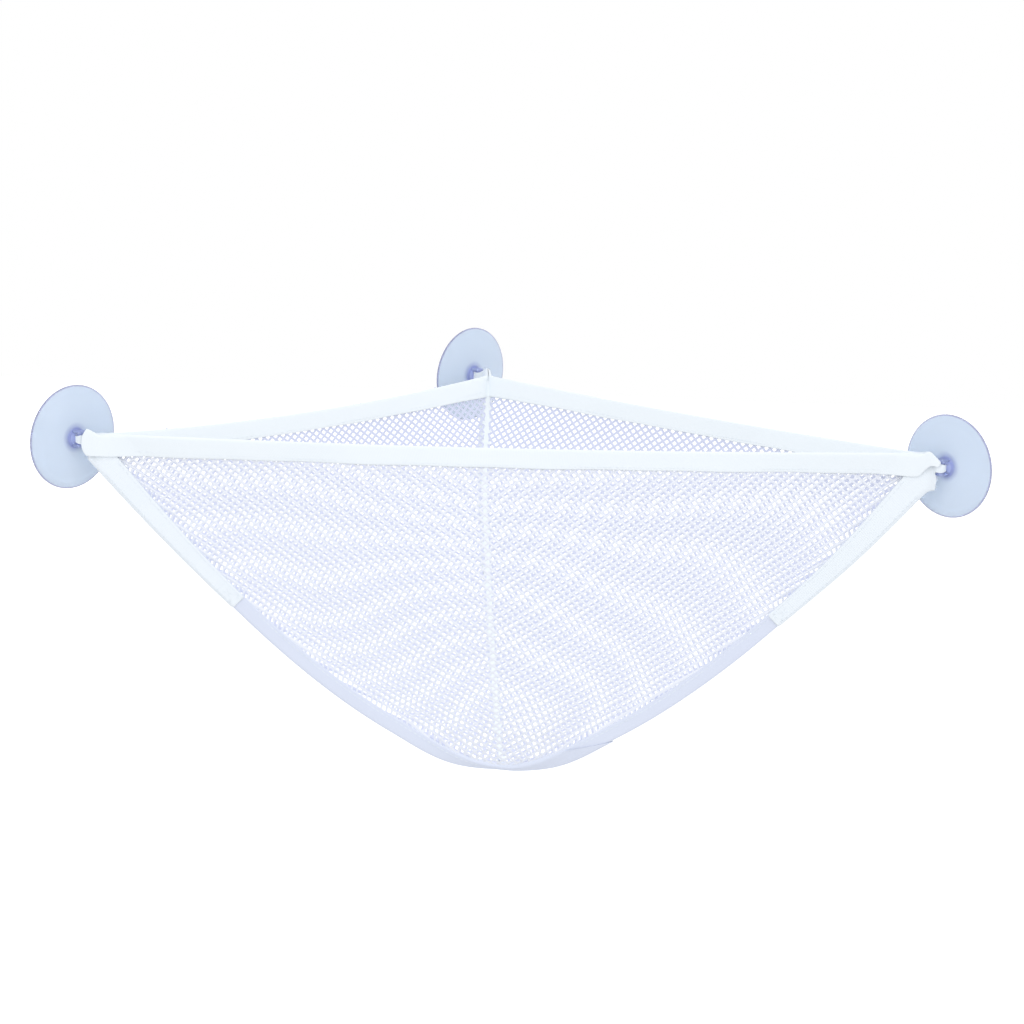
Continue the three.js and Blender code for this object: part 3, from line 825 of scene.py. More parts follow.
def net_mesh(panel, net):
    """The diamond net of one panel: cut from a turned grid, made of strands while flat, then hung."""
    half_w, half_h = net.cell_width / 2, net.cell_height / 2
    reach = max(abs(panel.start), abs(panel.end)) + 4 * net.allowance
    lines = int(2 * math.ceil((reach / half_w + panel.fall / half_h) / 2)) + 4
    obj = add_grid(f"{panel.name}_net_mesh", lines, lines)
    index = np.arange(lines)
    i, j = np.meshgrid(index, index)
    shift = lines // 2
    p = ((i - j) * half_w).ravel()
    q = ((i + j - shift) * half_h).ravel()
    set_points(obj, np.stack([p, q, 0.0 * p], -1))
    keep_pattern(obj, panel, net)
    strand = net.strand if panel.name == "front" else net.back_strand
    strands = obj.modifiers.new("strands", "WIREFRAME")
    strands.thickness = strand
    strands.use_even_offset = True
    strands.use_relative_offset = False
    strands.use_replace = True
    strands.use_boundary = True
    apply_modifiers(obj)
    flat = get_points(obj)
    set_cut(obj, flat[:, :2])
    lift = flat[:, 2] * net.thickness / strand
    drift_p, drift_q, wave = wander(flat[:, 0], flat[:, 1], len(panel.name))
    p, q = flat[:, 0] + drift_p, np.clip(flat[:, 1] + drift_q, 0.0, panel.fall - 0.5 * MM)
    left, right = panel.edges(q)
    inset = np.minimum(p - left, right - p)
    free = np.clip(inset / STILL_EDGE, 0.0, 1.0) * np.clip(q / STILL_EDGE, 0.0, 1.0)
    set_points(obj, panel.hang(p, q) + panel.normal(p, q) * (lift + wave * free)[:, None])
    smooth(obj, math.radians(40))
    return obj


def keep_pattern(obj, panel, net):
    """Deletes the cells of a flat net that lie outside the panel's cut."""
    mesh = obj.data
    centres = np.empty(len(mesh.polygons) * 3, np.float32)
    mesh.polygons.foreach_get("center", centres)
    p, q = centres.reshape(-1, 3)[:, :2].astype(float).T
    left, right = panel.edges(np.clip(q, 0.0, panel.fall))
    inside = (p > left - net.allowance) & (p < right + net.allowance)
    inside &= (q > panel.sag(p) + TOP_MARGIN) & (q < panel.fall - LOW_MARGIN)
    with editing(obj, "DESELECT"):
        bpy.ops.mesh.select_mode(type="FACE")
    mesh.polygons.foreach_set("select", ~inside)
    bpy.ops.object.mode_set(mode="EDIT")
    bpy.ops.mesh.delete(type="FACE")
    bpy.ops.object.mode_set(mode="OBJECT")


def wander(p, q, phase):
    """The small unevenness of a hung net: along, down and out."""
    first = np.sin(p / (21 * MM) + phase) * np.cos(q / (27 * MM) - phase)
    second = np.sin(q / (18 * MM) + 2 * phase) * np.cos(p / (31 * MM) + phase)
    third = np.sin(p / (43 * MM) - q / (35 * MM) + phase) + 0.5 * np.sin(p / (19 * MM) + q / (29 * MM))
    return DRIFT * first, DRIFT * second, BILLOW * third


class BAG_OT_net_panels(bpy.types.Operator):
    """Cuts the three net panels and hangs them between the corners"""

    bl_idname = "bag.net_panels"
    bl_label = "Net Panels"

    def execute(self, context):
        scene = context.scene
        for panel in bag_panels(scene):
            net = net_mesh(panel, scene.bag_net)
            # The back panels take the net's copy with painted shade.
            finish = "net_knit" if panel.name == "front" else "net_knit_back"
            dress(net, material_for(finish, scene), "net", "net", f"{panel.name}_net_panel")
            net.visible_shadow = False
            net.visible_diffuse = False
        return {"FINISHED"}


# Bindings.

# Length of one step of the rim bindings, and how far they run on past their seams.
RIM_STEP = 4.0 * MM
RIM_TUCK = 5.0 * MM

# Where the seam bindings start, as a share of the seam, and how near the low point they end.
SEAM_START = 0.995
SEAM_ENDS = {"left": 3.0 * MM, "right": 3.0 * MM, "back": 4.6 * MM}

# The turned-in lips of a seam binding: their rise, their width as a share of the fold's radius, and
# how deep the back one's mouth spreads.
LIP_RISE = 0.3 * MM
LIP_WIDTH = 0.7
SPREAD_DEPTH = 5.0 * MM

# The left seam binding's lap over the right one: its start, its room, its extra width and its slant.
LAP_START = 4.0 * MM
LAP_ROOM = 0.25 * MM
LAP_WIDER = 0.8 * MM
LAP_SLANT = 0.4

# The small ripple of the bindings' hems, down and out, and of the seams, to either side.
HEM_RIPPLE = 0.25 * MM
OUT_RIPPLE = 0.18 * MM
SEAM_RIPPLE = 0.16 * MM


def rim_frames(panel, tape, stations):
    """Places along a panel's rim: the edge, the way down the cloth and the way out of the bag."""
    q = panel.sag(stations)
    edge = panel.hang(stations, q)
    down = panel.hang(stations, q + tape.rim_width) - edge
    down -= np.multiply.outer(down @ panel.along, panel.along)
    down /= np.linalg.norm(down, axis=1, keepdims=True)
    out = np.cross(panel.along, down)
    out *= math.copysign(1.0, panel.out_sign())
    return edge, down, out


def rim_points(panel, tape, p, drop, aside):
    """Points of the rim binding: along the rim, then across the folded tape."""
    wave = np.sin(p / (11 * MM)) * np.sin(p / (37 * MM) + 1.0)
    ends = np.abs(2.0 * (p - panel.start) / (panel.end - panel.start) - 1.0)
    points = np.empty(p.shape + (3,))
    for column, (d, h) in enumerate(zip(drop, aside)):
        edge, down, out = rim_frames(panel, tape, p[:, column])
        hem = max(d, 0.0) / tape.rim_width
        ripple = wave[:, column] * hem
        spread = tape.rim_spread * hem * ends[:, column] ** 3
        points[:, column] = edge + down * (d + spread + HEM_RIPPLE * ripple)[:, None]
        points[:, column] += out * (h + OUT_RIPPLE * ripple)[:, None]
    return points


def rim_binding(panel, tape):
    """The tape folded over one panel's top edge, with a tail at each end that runs on to the cup's eye."""
    rise, aside = fold_section(-tape.rim_width, tape.rim_fold, tape.rim_fold)
    drop = -rise
    rows = int((panel.end - panel.start) / RIM_STEP)
    left, right = panel.edges(np.maximum(drop, 0.0))
    p = left + (right - left) * np.linspace(0.0, 1.0, rows)[:, None]
    points = rim_points(panel, tape, p, drop, aside)
    inner = (aside < 0.3 * tape.rim_fold) * 1.0
    head = rim_tuck(panel.ends[0], points[0], inner, tape)
    tail = rim_tuck(panel.ends[1], points[-1], inner, tape)
    name = f"{panel.name}_rim_binding"
    binding = tape_sheet(name, np.concatenate([head[::-1], points, tail]), tape.thickness)
    tails = [tape_sheet(f"{name}_{end}", rim_tail(panel, end, tape), tape.thickness) for end in (0, 1)]
    deselect()
    for piece in (*tails, binding):
        piece.select_set(True)
    bpy.context.view_layer.objects.active = binding
    bpy.ops.object.join()
    return binding


def rim_tuck(corner, row, inner, tape):
    """Rows that take a rim binding on past its seam, where the inner plies of two rims meet."""
    rows = []
    half = 0.55 * tape.thickness
    for share in (0.5, 1.0):
        at = row - pull(corner.bag, row) + share * RIM_TUCK * corner.out
        off = (at - corner.low) @ corner.side
        meet = np.clip(off, -half, half)
        at += ((meet - off) * inner * share)[:, None] * corner.side
        rows.append(at + pull(corner.bag, at))
    return np.array(rows)


def rim_tail(panel, end, tape):
    """The outer ply of the rim binding at a seam: over the strap and on towards the eye."""
    corner = panel.ends[end]
    way = math.copysign(1.0, float(panel.foot @ corner.side))
    tail = TAILS[(corner.name, way)]
    stand = tape.tail_stand if tail.behind < 0.0 else tape.tail_lap
    drop = TAIL_DROPS * tape.rim_width / TAIL_DROPS.max()
    across = (drop - drop.min()) / (drop.max() - drop.min())
    curl = TAIL_CURLS * MM
    inside = TAIL_INSIDE[:, None] * MM
    sink = TAIL_SINKS[:, None] * MM

    # The rows on the panel, pushed out over the strap where they come near the seam.
    edge = panel.edges(np.maximum(drop, 0.0))[end]
    p = edge + inside * (1.0 if end == 0 else -1.0)
    sewn = rim_points(panel, tape, p, drop, tape.rim_fold + TAIL_ROOM - curl)
    sewn -= (way * sink * np.ones_like(drop))[..., None] * corner.side
    still = sewn - pull(corner.bag, sewn) - corner.low
    push = np.maximum(tape.tail_lap - curl - way * (still @ corner.side), 0.0) * (inside < TAIL_PUSH)
    sewn += (way * push)[..., None] * corner.side

    # The rows past the seam, which take the height and the stand of the tail's end.
    t = np.linspace(0.0, 1.0, TAIL_ROWS + 1)[1:, None]
    reach, level = still[-1] @ corner.out, still[-1][:, 2]
    far = corner.bar_radius - tail.behind * MM - tail.roundness * MM * np.abs(2.0 * across - 1.0) ** 3
    high = (tail.top + (tail.bottom - tail.top) * across) * MM
    ease = soft_step((t - tail.begin - tail.late * across) / (tail.finish - tail.begin))
    lift = tape.tail_lap + (stand - tape.tail_lap) * soft_step((t - 0.35) / 0.5)
    pleat = TAIL_PLEAT * soft_step(t * 1.4) * soft_step((1.0 - t) / 0.4)
    pleat = pleat * np.cos(2 * math.pi * drop / TAIL_PLEAT_PITCH + 0.6)
    flat = np.stack([reach + (far - reach) * t, level + (high - level) * ease], -1)
    off = way * (lift - curl + np.abs(pleat))
    return np.concatenate([sewn, corner.place(flat, off)])


def seam_stations(start, end, count):
    """Shares of a seam from its top down, closer together towards the low point."""
    return start + (end - start) * np.linspace(0.0, 1.0, count) ** 0.8


def seam_section(corner, tape, radius, width):
    """A seam binding seen end on, from one lip of its mouth round the fold to the other."""
    gap = tape.back_gap if corner.name == "back" else tape.seam_gap
    rise, aside = fold_section(gap + LIP_RISE, width, radius)
    mouth = np.full(2, gap)
    lip = LIP_WIDTH * radius
    rise = np.concatenate([mouth, rise, mouth])
    aside = np.concatenate([[0.0, lip], aside, [-lip, 0.0]])
    if corner.name == "back":
        aside = aside * (1.0 + tape.back_spread * (1.0 - soft_step((rise - gap) / SPREAD_DEPTH)))
    return rise, aside


def seam_rows(corner, section, shares, turned=1.0):
    """Rows of a tape folded over a seam's fin."""
    rise, aside = section
    run = shares * corner.radius
    ripple = SEAM_RIPPLE * np.sin(run / (9 * MM)) * np.sin(run / (31 * MM))
    return corner.fold(shares * np.ones_like(rise), rise, turned * aside + ripple)


def seam_binding(corner, tape):
    """The tape folded over one seam. The left one runs on past the low point and laps over the right one."""
    shares = seam_stations(SEAM_START, SEAM_ENDS[corner.name] / corner.radius, 90)[:, None]
    rows = seam_rows(corner, seam_section(corner, tape, tape.seam_fold, tape.seam_width), shares)
    if corner.name == "left":
        other = Corner(corner.bag, "right")
        width = tape.seam_width + LAP_WIDER
        section = seam_section(other, tape, tape.seam_fold + tape.thickness + LAP_ROOM, width)
        slant = (section[0] - tape.seam_gap) / (width - tape.seam_gap)
        end = tape.overlap * (1.0 - LAP_SLANT + LAP_SLANT * slant)
        lap = LAP_START + (end - LAP_START) * np.linspace(0.0, 1.0, 26)[:, None]
        rows = np.concatenate([rows, seam_rows(other, section, lap / other.radius, turned=-1.0)])
    return tape_sheet(f"{corner.name}_seam_binding", rows, tape.thickness, closed=True)


class BAG_OT_rim_bindings(bpy.types.Operator):
    """Folds a tape over the top edge of each panel"""

    bl_idname = "bag.rim_bindings"
    bl_label = "Rim Bindings"

    def execute(self, context):
        scene = context.scene
        for panel in bag_panels(scene):
            binding = rim_binding(panel, scene.bag_tape)
            dress(binding, material_for("binding_tape", scene), "tape", "net", f"{panel.name}_rim_tape")
        return {"FINISHED"}


class BAG_OT_seam_bindings(bpy.types.Operator):
    """Folds a tape over each of the three seams"""

    bl_idname = "bag.seam_bindings"
    bl_label = "Seam Bindings"

    def execute(self, context):
        scene = context.scene
        for corner in bag_corners(scene):
            binding = seam_binding(corner, scene.bag_tape)
            # The side seams take the tape's copy with painted shade; the back seam keeps the rim's colour.
            finish = "binding_tape" if corner.name == "back" else "seam_tape"
            dress(binding, material_for(finish, scene), "tape", "net", f"{corner.name}_seam_tape")
        return {"FINISHED"}


# Straps.

def through(points, count):
    """A smooth line through points, from the second one to the last one, evenly stepped."""
    beyond = (2 * points[-1, 0] - points[-2, 0], points[-1, 1])
    ends = np.concatenate([points, [beyond]])
    t = np.linspace(0.0, 1.0, 12, endpoint=False)[:, None]
    dense = []
    for a, b, c, d in zip(ends, ends[1:], ends[2:], ends[3:]):
        dense.append(b + 0.5 * t * (c - a + t * (2 * a - 5 * b + 4 * c - d + t * (3 * (b - c) + d - a))))
    dense = np.concatenate([*dense, points[-1:]])
    run = runs_along(dense)
    return points_at(np.linspace(0.0, run[-1], count + 1)[1:], run, dense)


def strap_edges(corner, tape, rows=40, lead=28):
    """The strap's two edges in the seam's plane, from its sewn end up to the bar."""
    half = tape.strap_width / 2
    shares = np.linspace(corner.share_at_run(tape.strap_run), SEWN_TOP, rows)
    rise = np.linspace(0.0, 1.0, rows) ** 1.3
    flare = tape.strap_flare + (tape.right_flare if corner.name == "right" else 0.0)
    lap = tape.strap_lap + (flare - tape.strap_lap) * rise
    bar = np.array([corner.bar_radius, 0.0])
    upper, lower = (np.array(turns) * (-MM, MM) for turns in STRAP_TURNS[corner.name])
    edges = []
    gap = max(tape.back_gap, 0.4 * MM) if corner.name == "back" else tape.strap_gap
    for off, turns, height in ((gap, upper, half), (tape.seam_width + lap, lower, -half)):
        sewn = corner.seam(shares, off)
        free = through(np.concatenate([sewn[-2:], bar + turns, [bar + (0.0, height)]]), lead)
        edges.append(np.concatenate([sewn, free]))
    return edges


def strap_ply(corner, tape):
    """Rows of points of one ply, and how much each gathers on its way into the eye."""
    inner, outer = strap_edges(corner, tape)
    across = np.linspace(0.0, 1.0, len(UPPER_SHUT))
    flat = inner[:, None] + (outer - inner)[:, None] * across[None, :, None]
    run = runs_along(flat.mean(axis=1))[:, None]
    gather = np.exp(-((run[-1] - run - GATHER_PLACE) / GATHER_SPREAD) ** 2)
    pleats = soft_step(2.0 * across - 0.9) * (0.5 - 0.5 * np.cos(2 * math.pi * (PLEATS * across + 0.15)))
    sway = np.abs(SWAY * np.sin(run / SWAY_PITCH))
    return flat, GATHER_DEPTH * gather * pleats + sway * (1 - gather)


def strap_webbing(corner, tape):
    """The strap of one corner: up the seam, round the cup's bar and down the other side."""
    flat, gather = strap_ply(corner, tape)
    behind = corner.bar_radius - flat[..., 0]
    stand = tape.loop_radius - PINCHES[corner.name] * between(behind, *PINCH_SPAN) + gather
    start, rise = SHUT_SPAN[:2]
    shut = between(behind, *SHUT_SPAN) * UPPER_SHUT + soft_step((behind - start) / rise) * LOWER_SHUT
    stand = stand + (SHUT_GAP - stand) * shut
    front = corner.place(flat, stand)
    back = corner.place(flat, -stand)
    angles = np.linspace(math.pi / 2, -math.pi / 2, 14)[1:-1]
    turn = np.repeat(flat[-1:], len(angles), axis=0)
    turn[..., 0] += tape.loop_radius * np.cos(angles)[:, None]
    turn[..., 1] *= 1.0 - LOOP_WAIST * np.cos(angles)[:, None] ** 2
    loop = corner.place(turn, tape.loop_radius * np.sin(angles)[:, None])
    rows = np.concatenate([front, loop, back[::-1]])
    return tape_sheet(f"{corner.name}_strap_webbing", rows, tape.strap_thickness)


class BAG_OT_corner_straps(bpy.types.Operator):
    """Runs a strap up each seam and through the eye of its cup"""

    bl_idname = "bag.corner_straps"
    bl_label = "Corner Straps"

    def execute(self, context):
        scene = context.scene
        for corner in bag_corners(scene):
            strap = strap_webbing(corner, scene.bag_tape)
            dress(strap, material_for("strap_webbing", scene), "tape", "net", f"{corner.name}_corner_strap")
        return {"FINISHED"}


# Stitching.

# How far the rows lie from a tape's hem, and how far they stop from the corners, from the end of a
# strap, from the low point and from the bars of the cups.
STITCH_INSET = 1.7 * MM
RIM_STOP = 9.0 * MM
STRAP_STOP = 3.0 * MM
LOW_STOP = 12.0 * MM
BAR_STOP = 24.0 * MM

# Where a strap's two long rows lie across it, how far from its end they start and how high they lie.
STRAP_ROWS = (0.14, 0.86)
STRAP_ROW_START = 1.5 * MM
STRAP_ROW_LIFT = 0.12 * MM


def one_stitch(tape):
    """One stitch along X, low and round, to be copied along the seams."""
    deselect()
    bpy.ops.mesh.primitive_uv_sphere_add(segments=6, ring_count=5, radius=0.5)
    stitch = named("stitch")
    size = (tape.stitch, tape.thread, tape.thread * 0.8)
    with editing(stitch):
        bpy.ops.transform.rotate(value=math.pi / 2, orient_axis="Y", center_override=(0, 0, 0))
        bpy.ops.transform.resize(value=size, center_override=(0, 0, 0))
    return stitch


def stitch_spots(line, normals, tape):
    """Places of the stitches along a line: middle, way and lift."""
    run = runs_along(line)
    pitch = tape.stitch + tape.stitch_gap
    spots = np.arange(pitch / 2, run[-1] - pitch / 2, pitch)
    at = points_at(spots, run, line)
    ahead = points_at(spots + 0.3 * MM, run, line)
    return at, ahead - at, points_at(spots, run, normals)


def sew(name, stitch, rows, tape):
    """One piece of thread with a stitch at every spot of the rows."""
    spots = [stitch_spots(line, normals, tape) for line, normals in rows]
    at, way, lift = (np.concatenate(parts) for parts in zip(*spots))
    way = way / np.linalg.norm(way, axis=1, keepdims=True)
    lift = lift - way * np.sum(lift * way, axis=1, keepdims=True)
    lift /= np.linalg.norm(lift, axis=1, keepdims=True)
    aside = np.cross(lift, way)
    shape = get_points(stitch)
    points = at[:, None] + (shape[None, :, :1] * way[:, None] + shape[None, :, 1:2] * aside[:, None]
                            + shape[None, :, 2:] * lift[:, None])
    faces = [tuple(face.vertices) for face in stitch.data.polygons]
    count = len(shape)
    copies = [tuple(v + k * count for v in face) for k in range(len(at)) for face in faces]
    mesh = bpy.data.meshes.new(name)
    mesh.from_pydata(points.reshape(-1, 3).tolist(), [], copies)
    obj = bpy.data.objects.new(name, mesh)
    bpy.context.scene.collection.objects.link(obj)
    set_cut(obj, np.tile(shape[:, :2], (len(at), 1)))
    smooth(obj)
    return obj


def rim_stitch_rows(panel, tape):
    """A row of stitches near the binding's hem, outside and inside."""
    stations = np.linspace(panel.start + RIM_STOP, panel.end - RIM_STOP, 200)
    edge, down, out = rim_frames(panel, tape, stations)
    line = edge + down * (tape.rim_width - STITCH_INSET)
    lift = tape.rim_fold + tape.thickness / 2
    return [(line + out * lift, out), (line - out * lift, -out)]


def seam_stitch_rows(corner, tape):
    """A row of stitches along the seam binding below the strap, on both sides."""
    top = corner.share_at_run(tape.strap_run + STRAP_STOP)
    shares = np.linspace(top, LOW_STOP / corner.radius, 160)
    rise = tape.seam_gap + STITCH_INSET
    lift = tape.seam_fold + tape.thickness / 2
    beside = corner.fin(shares)[1]
    return [(corner.fold(shares, rise, way * lift), way * beside) for way in (1.0, -1.0)]


def strap_stitch_rows(corner, tape):
    """Stitches round the strap's sewn stretch: both edges, the end and a cross near it."""
    inner, outer = strap_edges(corner, tape)
    run = runs_along((inner + outer) / 2)
    sewn = (run < run[-1] - BAR_STOP) & (run > STRAP_ROW_START)
    upper, lower = ((inner + (outer - inner) * share)[sewn] for share in STRAP_ROWS)
    ends = [(upper[0], lower[0]), (upper[4], lower[4]), (upper[0], lower[4]), (lower[0], upper[4])]
    lift = tape.loop_radius + tape.strap_thickness / 2 + STRAP_ROW_LIFT
    spots = np.linspace(0, 1, 60)
    rows = []
    for way in (1.0, -1.0):
        for line in (upper, lower, *np.array(ends)):
            dense = points_at(spots, np.linspace(0, 1, len(line)), line)
            rows.append((corner.place(dense, way * lift), np.broadcast_to(way * corner.side, (60, 3))))
    return rows


class BAG_OT_stitching(bpy.types.Operator):
    """Sews the bindings and the straps with rows of stitches"""

    bl_idname = "bag.stitching"
    bl_label = "Stitching"

    def execute(self, context):
        scene = context.scene
        tape = scene.bag_tape
        stitch = one_stitch(tape)
        rows = {}
        for panel in bag_panels(scene):
            rows[f"{panel.name}_rim_stitches"] = rim_stitch_rows(panel, tape)
        for corner in bag_corners(scene):
            rows[f"{corner.name}_seam_stitches"] = seam_stitch_rows(corner, tape)
            rows[f"{corner.name}_strap_stitches"] = strap_stitch_rows(corner, tape)
        for name, lines in rows.items():
            dress(sew(name, stitch, lines, tape), material_for("sewing_thread", scene), "tape", "net")
        bpy.data.objects.remove(stitch)
        return {"FINISHED"}


# Suction cups.

def cup_profile(cup):
    """Half of a cup's section, from the middle of its hollow round to the middle of its post."""
    rim = cup.width / 2
    dish = rim - cup.lip_width
    post = cup.post_width / 2
    rise = cup.hollow + cup.wall
    fillet = min(cup.fillet, cup.post_height - rise)
    bulge = 0.4 * cup.lip
    half = cup.lip / 2
    steps = np.linspace(0.0, 1.0, 12)
    profile = [(dish * s, cup.hollow * (1 - s ** 2)) for s in steps]
    profile.append((rim - bulge, 0.0))
    edge = np.linspace(-math.pi / 2, math.pi / 2, 7)[1:-1]
    profile += [(rim - bulge + bulge * math.cos(a), half + half * math.sin(a)) for a in edge]
    profile.append((rim - bulge, cup.lip))
    foot = post + cup.fillet
    profile += [(dish + (foot - dish) * s, cup.lip + (rise - cup.lip) * s * (2 - s)) for s in steps[1:]]
    turns = np.linspace(0.0, math.pi / 2, 9)[1:-1]
    profile += [(post + cup.fillet * (1 - math.sin(a)), rise + fillet * (1 - math.cos(a))) for a in turns]
    profile += [(post - 0.5 * MM, cup.post_height), (0.0, cup.post_height)]
    return [Vector((r, 0.0, z)) for r, z in profile]


def spin_piece(name, profile, steps):
    """A turned piece: a line of points drawn out one by one and spun round Z."""
    deselect()
    bpy.ops.mesh.primitive_plane_add(size=MM)
    obj = named(name)
    with editing(obj):
        bpy.ops.mesh.select_mode(type="VERT")
        bpy.ops.mesh.merge(type="CENTER")
        bpy.ops.transform.translate(value=profile[0])
        for before, after in zip(profile, profile[1:]):
            bpy.ops.mesh.extrude_vertices_move(TRANSFORM_OT_translate={"value": after - before})
        bpy.ops.mesh.select_all(action="SELECT")
        bpy.ops.mesh.spin(steps=steps, angle=2 * math.pi, center=(0, 0, 0), axis=(0, 0, 1))
        bpy.ops.mesh.select_all(action="SELECT")
        bpy.ops.mesh.remove_doubles(threshold=1e-6)
        bpy.ops.mesh.normals_make_consistent(inside=False)
    return obj


def round_edges(obj, radius, segments):
    """Rounds the sharp edges of a piece."""
    edge = obj.modifiers.new("round", "BEVEL")
    edge.width = radius
    edge.segments = segments
    edge.limit_method = "ANGLE"
    apply_modifiers(obj)
    return obj


def eye_arm(cup, stand, name):
    """One arm of the eye, a block with rounded edges that stands on the post."""
    low = cup.post_height - cup.wall / 2
    high = stand + cup.bar_width / 2
    middle = (0, (cup.eye_slot + cup.eye_arm) / 2, (low + high) / 2)
    deselect()
    bpy.ops.mesh.primitive_cube_add(size=1.0, location=middle)
    arm = named(name)
    arm.scale = (cup.eye_width, cup.eye_arm, high - low)
    bpy.ops.object.transform_apply(location=True, rotation=True, scale=True)
    return round_edges(arm, 0.6 * MM, 4)


def eye_bar(cup, stand):
    """The bar that the strap turns round, with its two ends in the arms."""
    deselect()
    bpy.ops.mesh.primitive_cylinder_add(
        vertices=32, radius=cup.bar_width / 2, depth=cup.eye_slot + cup.eye_arm,
        location=(0, 0, stand), rotation=(math.pi / 2, 0, 0),
    )
    bar = named("eye_bar")
    bpy.ops.object.transform_apply(location=True, rotation=True, scale=True)
    return round_edges(bar, 0.3 * MM, 2)


def join_into(body, parts):
    """Joins pieces of one moulding into a single skin."""
    for part in parts:
        union = body.modifiers.new("union", "BOOLEAN")
        union.operation = "UNION"
        union.solver = "EXACT"
        union.object = part
        apply_modifiers(body)
        bpy.data.objects.remove(part)
    return body


def vinyl_cup(cup, stand):
    """One suction cup in its own frame: X along the wall, Y up and Z into the room."""
    body = spin_piece("cup_moulding", cup_profile(cup), cup.steps)
    upper = eye_arm(cup, stand, "eye_upper")
    lower = copy_of(upper, "eye_lower")
    lower.scale = (1, -1, 1)
    bpy.ops.object.transform_apply(location=True, rotation=True, scale=True)
    with editing(lower):
        bpy.ops.mesh.normals_make_consistent(inside=False)
    join_into(body, [upper, lower, eye_bar(cup, stand)])
    points = get_points(body)
    share = np.hypot(points[:, 0], points[:, 1]) / (cup.width / 2)
    set_cut(body, np.stack([share, points[:, 2] / MM], -1))
    smooth(body, math.radians(35))
    return body


def cup_seat(name):
    """Where the middle of a cup meets its wall, and the way from there into the room."""
    mount = MOUNTS[f"{name}_cup_lip"]
    x, y, _ = mount["pos_m"]
    return Vector((x, y, 0.0)), -Vector(mount["axis"])


class BAG_OT_suction_cups(bpy.types.Operator):
    """Moulds one suction cup and puts a copy on the wall at each corner"""

    bl_idname = "bag.suction_cups"
    bl_label = "Suction Cups"

    def execute(self, context):
        scene = context.scene
        seat, _ = cup_seat(CORNERS[0])
        first = vinyl_cup(scene.bag_cup, (Vector(BARS[CORNERS[0]]) - seat).length)
        up = Vector(UP)
        for name in CORNERS:
            seat, into = cup_seat(name)
            cup = copy_of(first, f"{name}_cup_vinyl")
            turn = Matrix((up.cross(into), up, into)).transposed()
            cup.matrix_world = Matrix.Translation(seat) @ turn.to_4x4()
            bpy.ops.object.transform_apply(location=True, rotation=True, scale=True)
            dress(cup, material_for("clear_vinyl", scene), "cup", f"{name}_cup", f"{name}_suction_cup")
        bpy.data.objects.remove(first)
        return {"FINISHED"}


# Stage.

# The point that the lamps look at, and each lamp's place and size.
BAG_MIDDLE = Vector((0.0, -0.2, -0.08))
LAMPS = {
    "key": ((-1.1, -1.9, 1.3), 1.4),
    "fill": ((1.7, -1.3, 0.5), 1.2),
    "top": ((0.2, 0.5, 1.8), 1.2),
}

# The colour of the room's own light, and the floor's size, grey and glow.
AMBIENT_TINT = (0.965, 0.972, 0.99)
FLOOR_SIZE = 6.0
FLOOR_GREY = 0.8
FLOOR_GLOW = 0.5


def bare_tree(owner):
    """The emptied shader tree of a material or a world."""
    owner.use_nodes = True
    owner.node_tree.nodes.clear()
    return owner.node_tree


def seen_rays(tree):
    """One where a ray comes straight from the camera, or by way of gloss or clear vinyl."""
    path = add_node(tree, "ShaderNodeLightPath", (-900, 0))
    seen = math_node(tree, "MAXIMUM", path.outputs["Is Camera Ray"], path.outputs["Is Glossy Ray"])
    return math_node(tree, "MAXIMUM", seen, path.outputs["Is Transmission Ray"])


def white_world(ambient):
    """A white room to the eye that lights the bag at a plain level."""
    world = bpy.data.worlds.new("studio_world")
    tree = bare_tree(world)
    mix = add_node(tree, "ShaderNodeMixShader", (-200, 0))
    tree.links.new(seen_rays(tree), mix.inputs[0])
    for socket, strength, tint in ((1, ambient, AMBIENT_TINT), (2, 1.0, (1.0, 1.0, 1.0))):
        light = add_node(tree, "ShaderNodeBackground", (-450, -200 * socket))
        light.inputs["Color"].default_value = (*tint, 1.0)
        light.inputs["Strength"].default_value = strength
        tree.links.new(light.outputs[0], mix.inputs[socket])
    end = add_node(tree, "ShaderNodeOutputWorld", (0, 0))
    tree.links.new(mix.outputs[0], end.inputs["Surface"])
    return world


def floor_material():
    """A pale floor that keeps the bag's shadow and looks white to the camera."""
    material = bpy.data.materials.new("pale_floor")
    tree = bare_tree(material)
    matte = add_node(tree, "ShaderNodeBsdfDiffuse", (-450, 100))
    matte.inputs["Color"].default_value = (FLOOR_GREY, FLOOR_GREY, FLOOR_GREY, 1.0)
    glow = add_node(tree, "ShaderNodeEmission", (-450, -100))
    tree.links.new(math_node(tree, "MULTIPLY", seen_rays(tree), FLOOR_GLOW), glow.inputs["Strength"])
    both = add_node(tree, "ShaderNodeAddShader", (-200, 0))
    tree.links.new(matte.outputs[0], both.inputs[0])
    tree.links.new(glow.outputs[0], both.inputs[1])
    end = add_node(tree, "ShaderNodeOutputMaterial", (0, 0))
    tree.links.new(both.outputs[0], end.inputs["Surface"])
    return material


def soft_lamp(name, place, size, power):
    """A square soft lamp that looks at the bag's middle."""
    deselect()
    bpy.ops.object.light_add(type="AREA", location=place)
    lamp = named(name)
    lamp.data.size = size
    lamp.data.energy = power
    lamp.rotation_mode = "QUATERNION"
    lamp.rotation_quaternion = (BAG_MIDDLE - Vector(place)).to_track_quat("-Z", "Y")
    return lamp


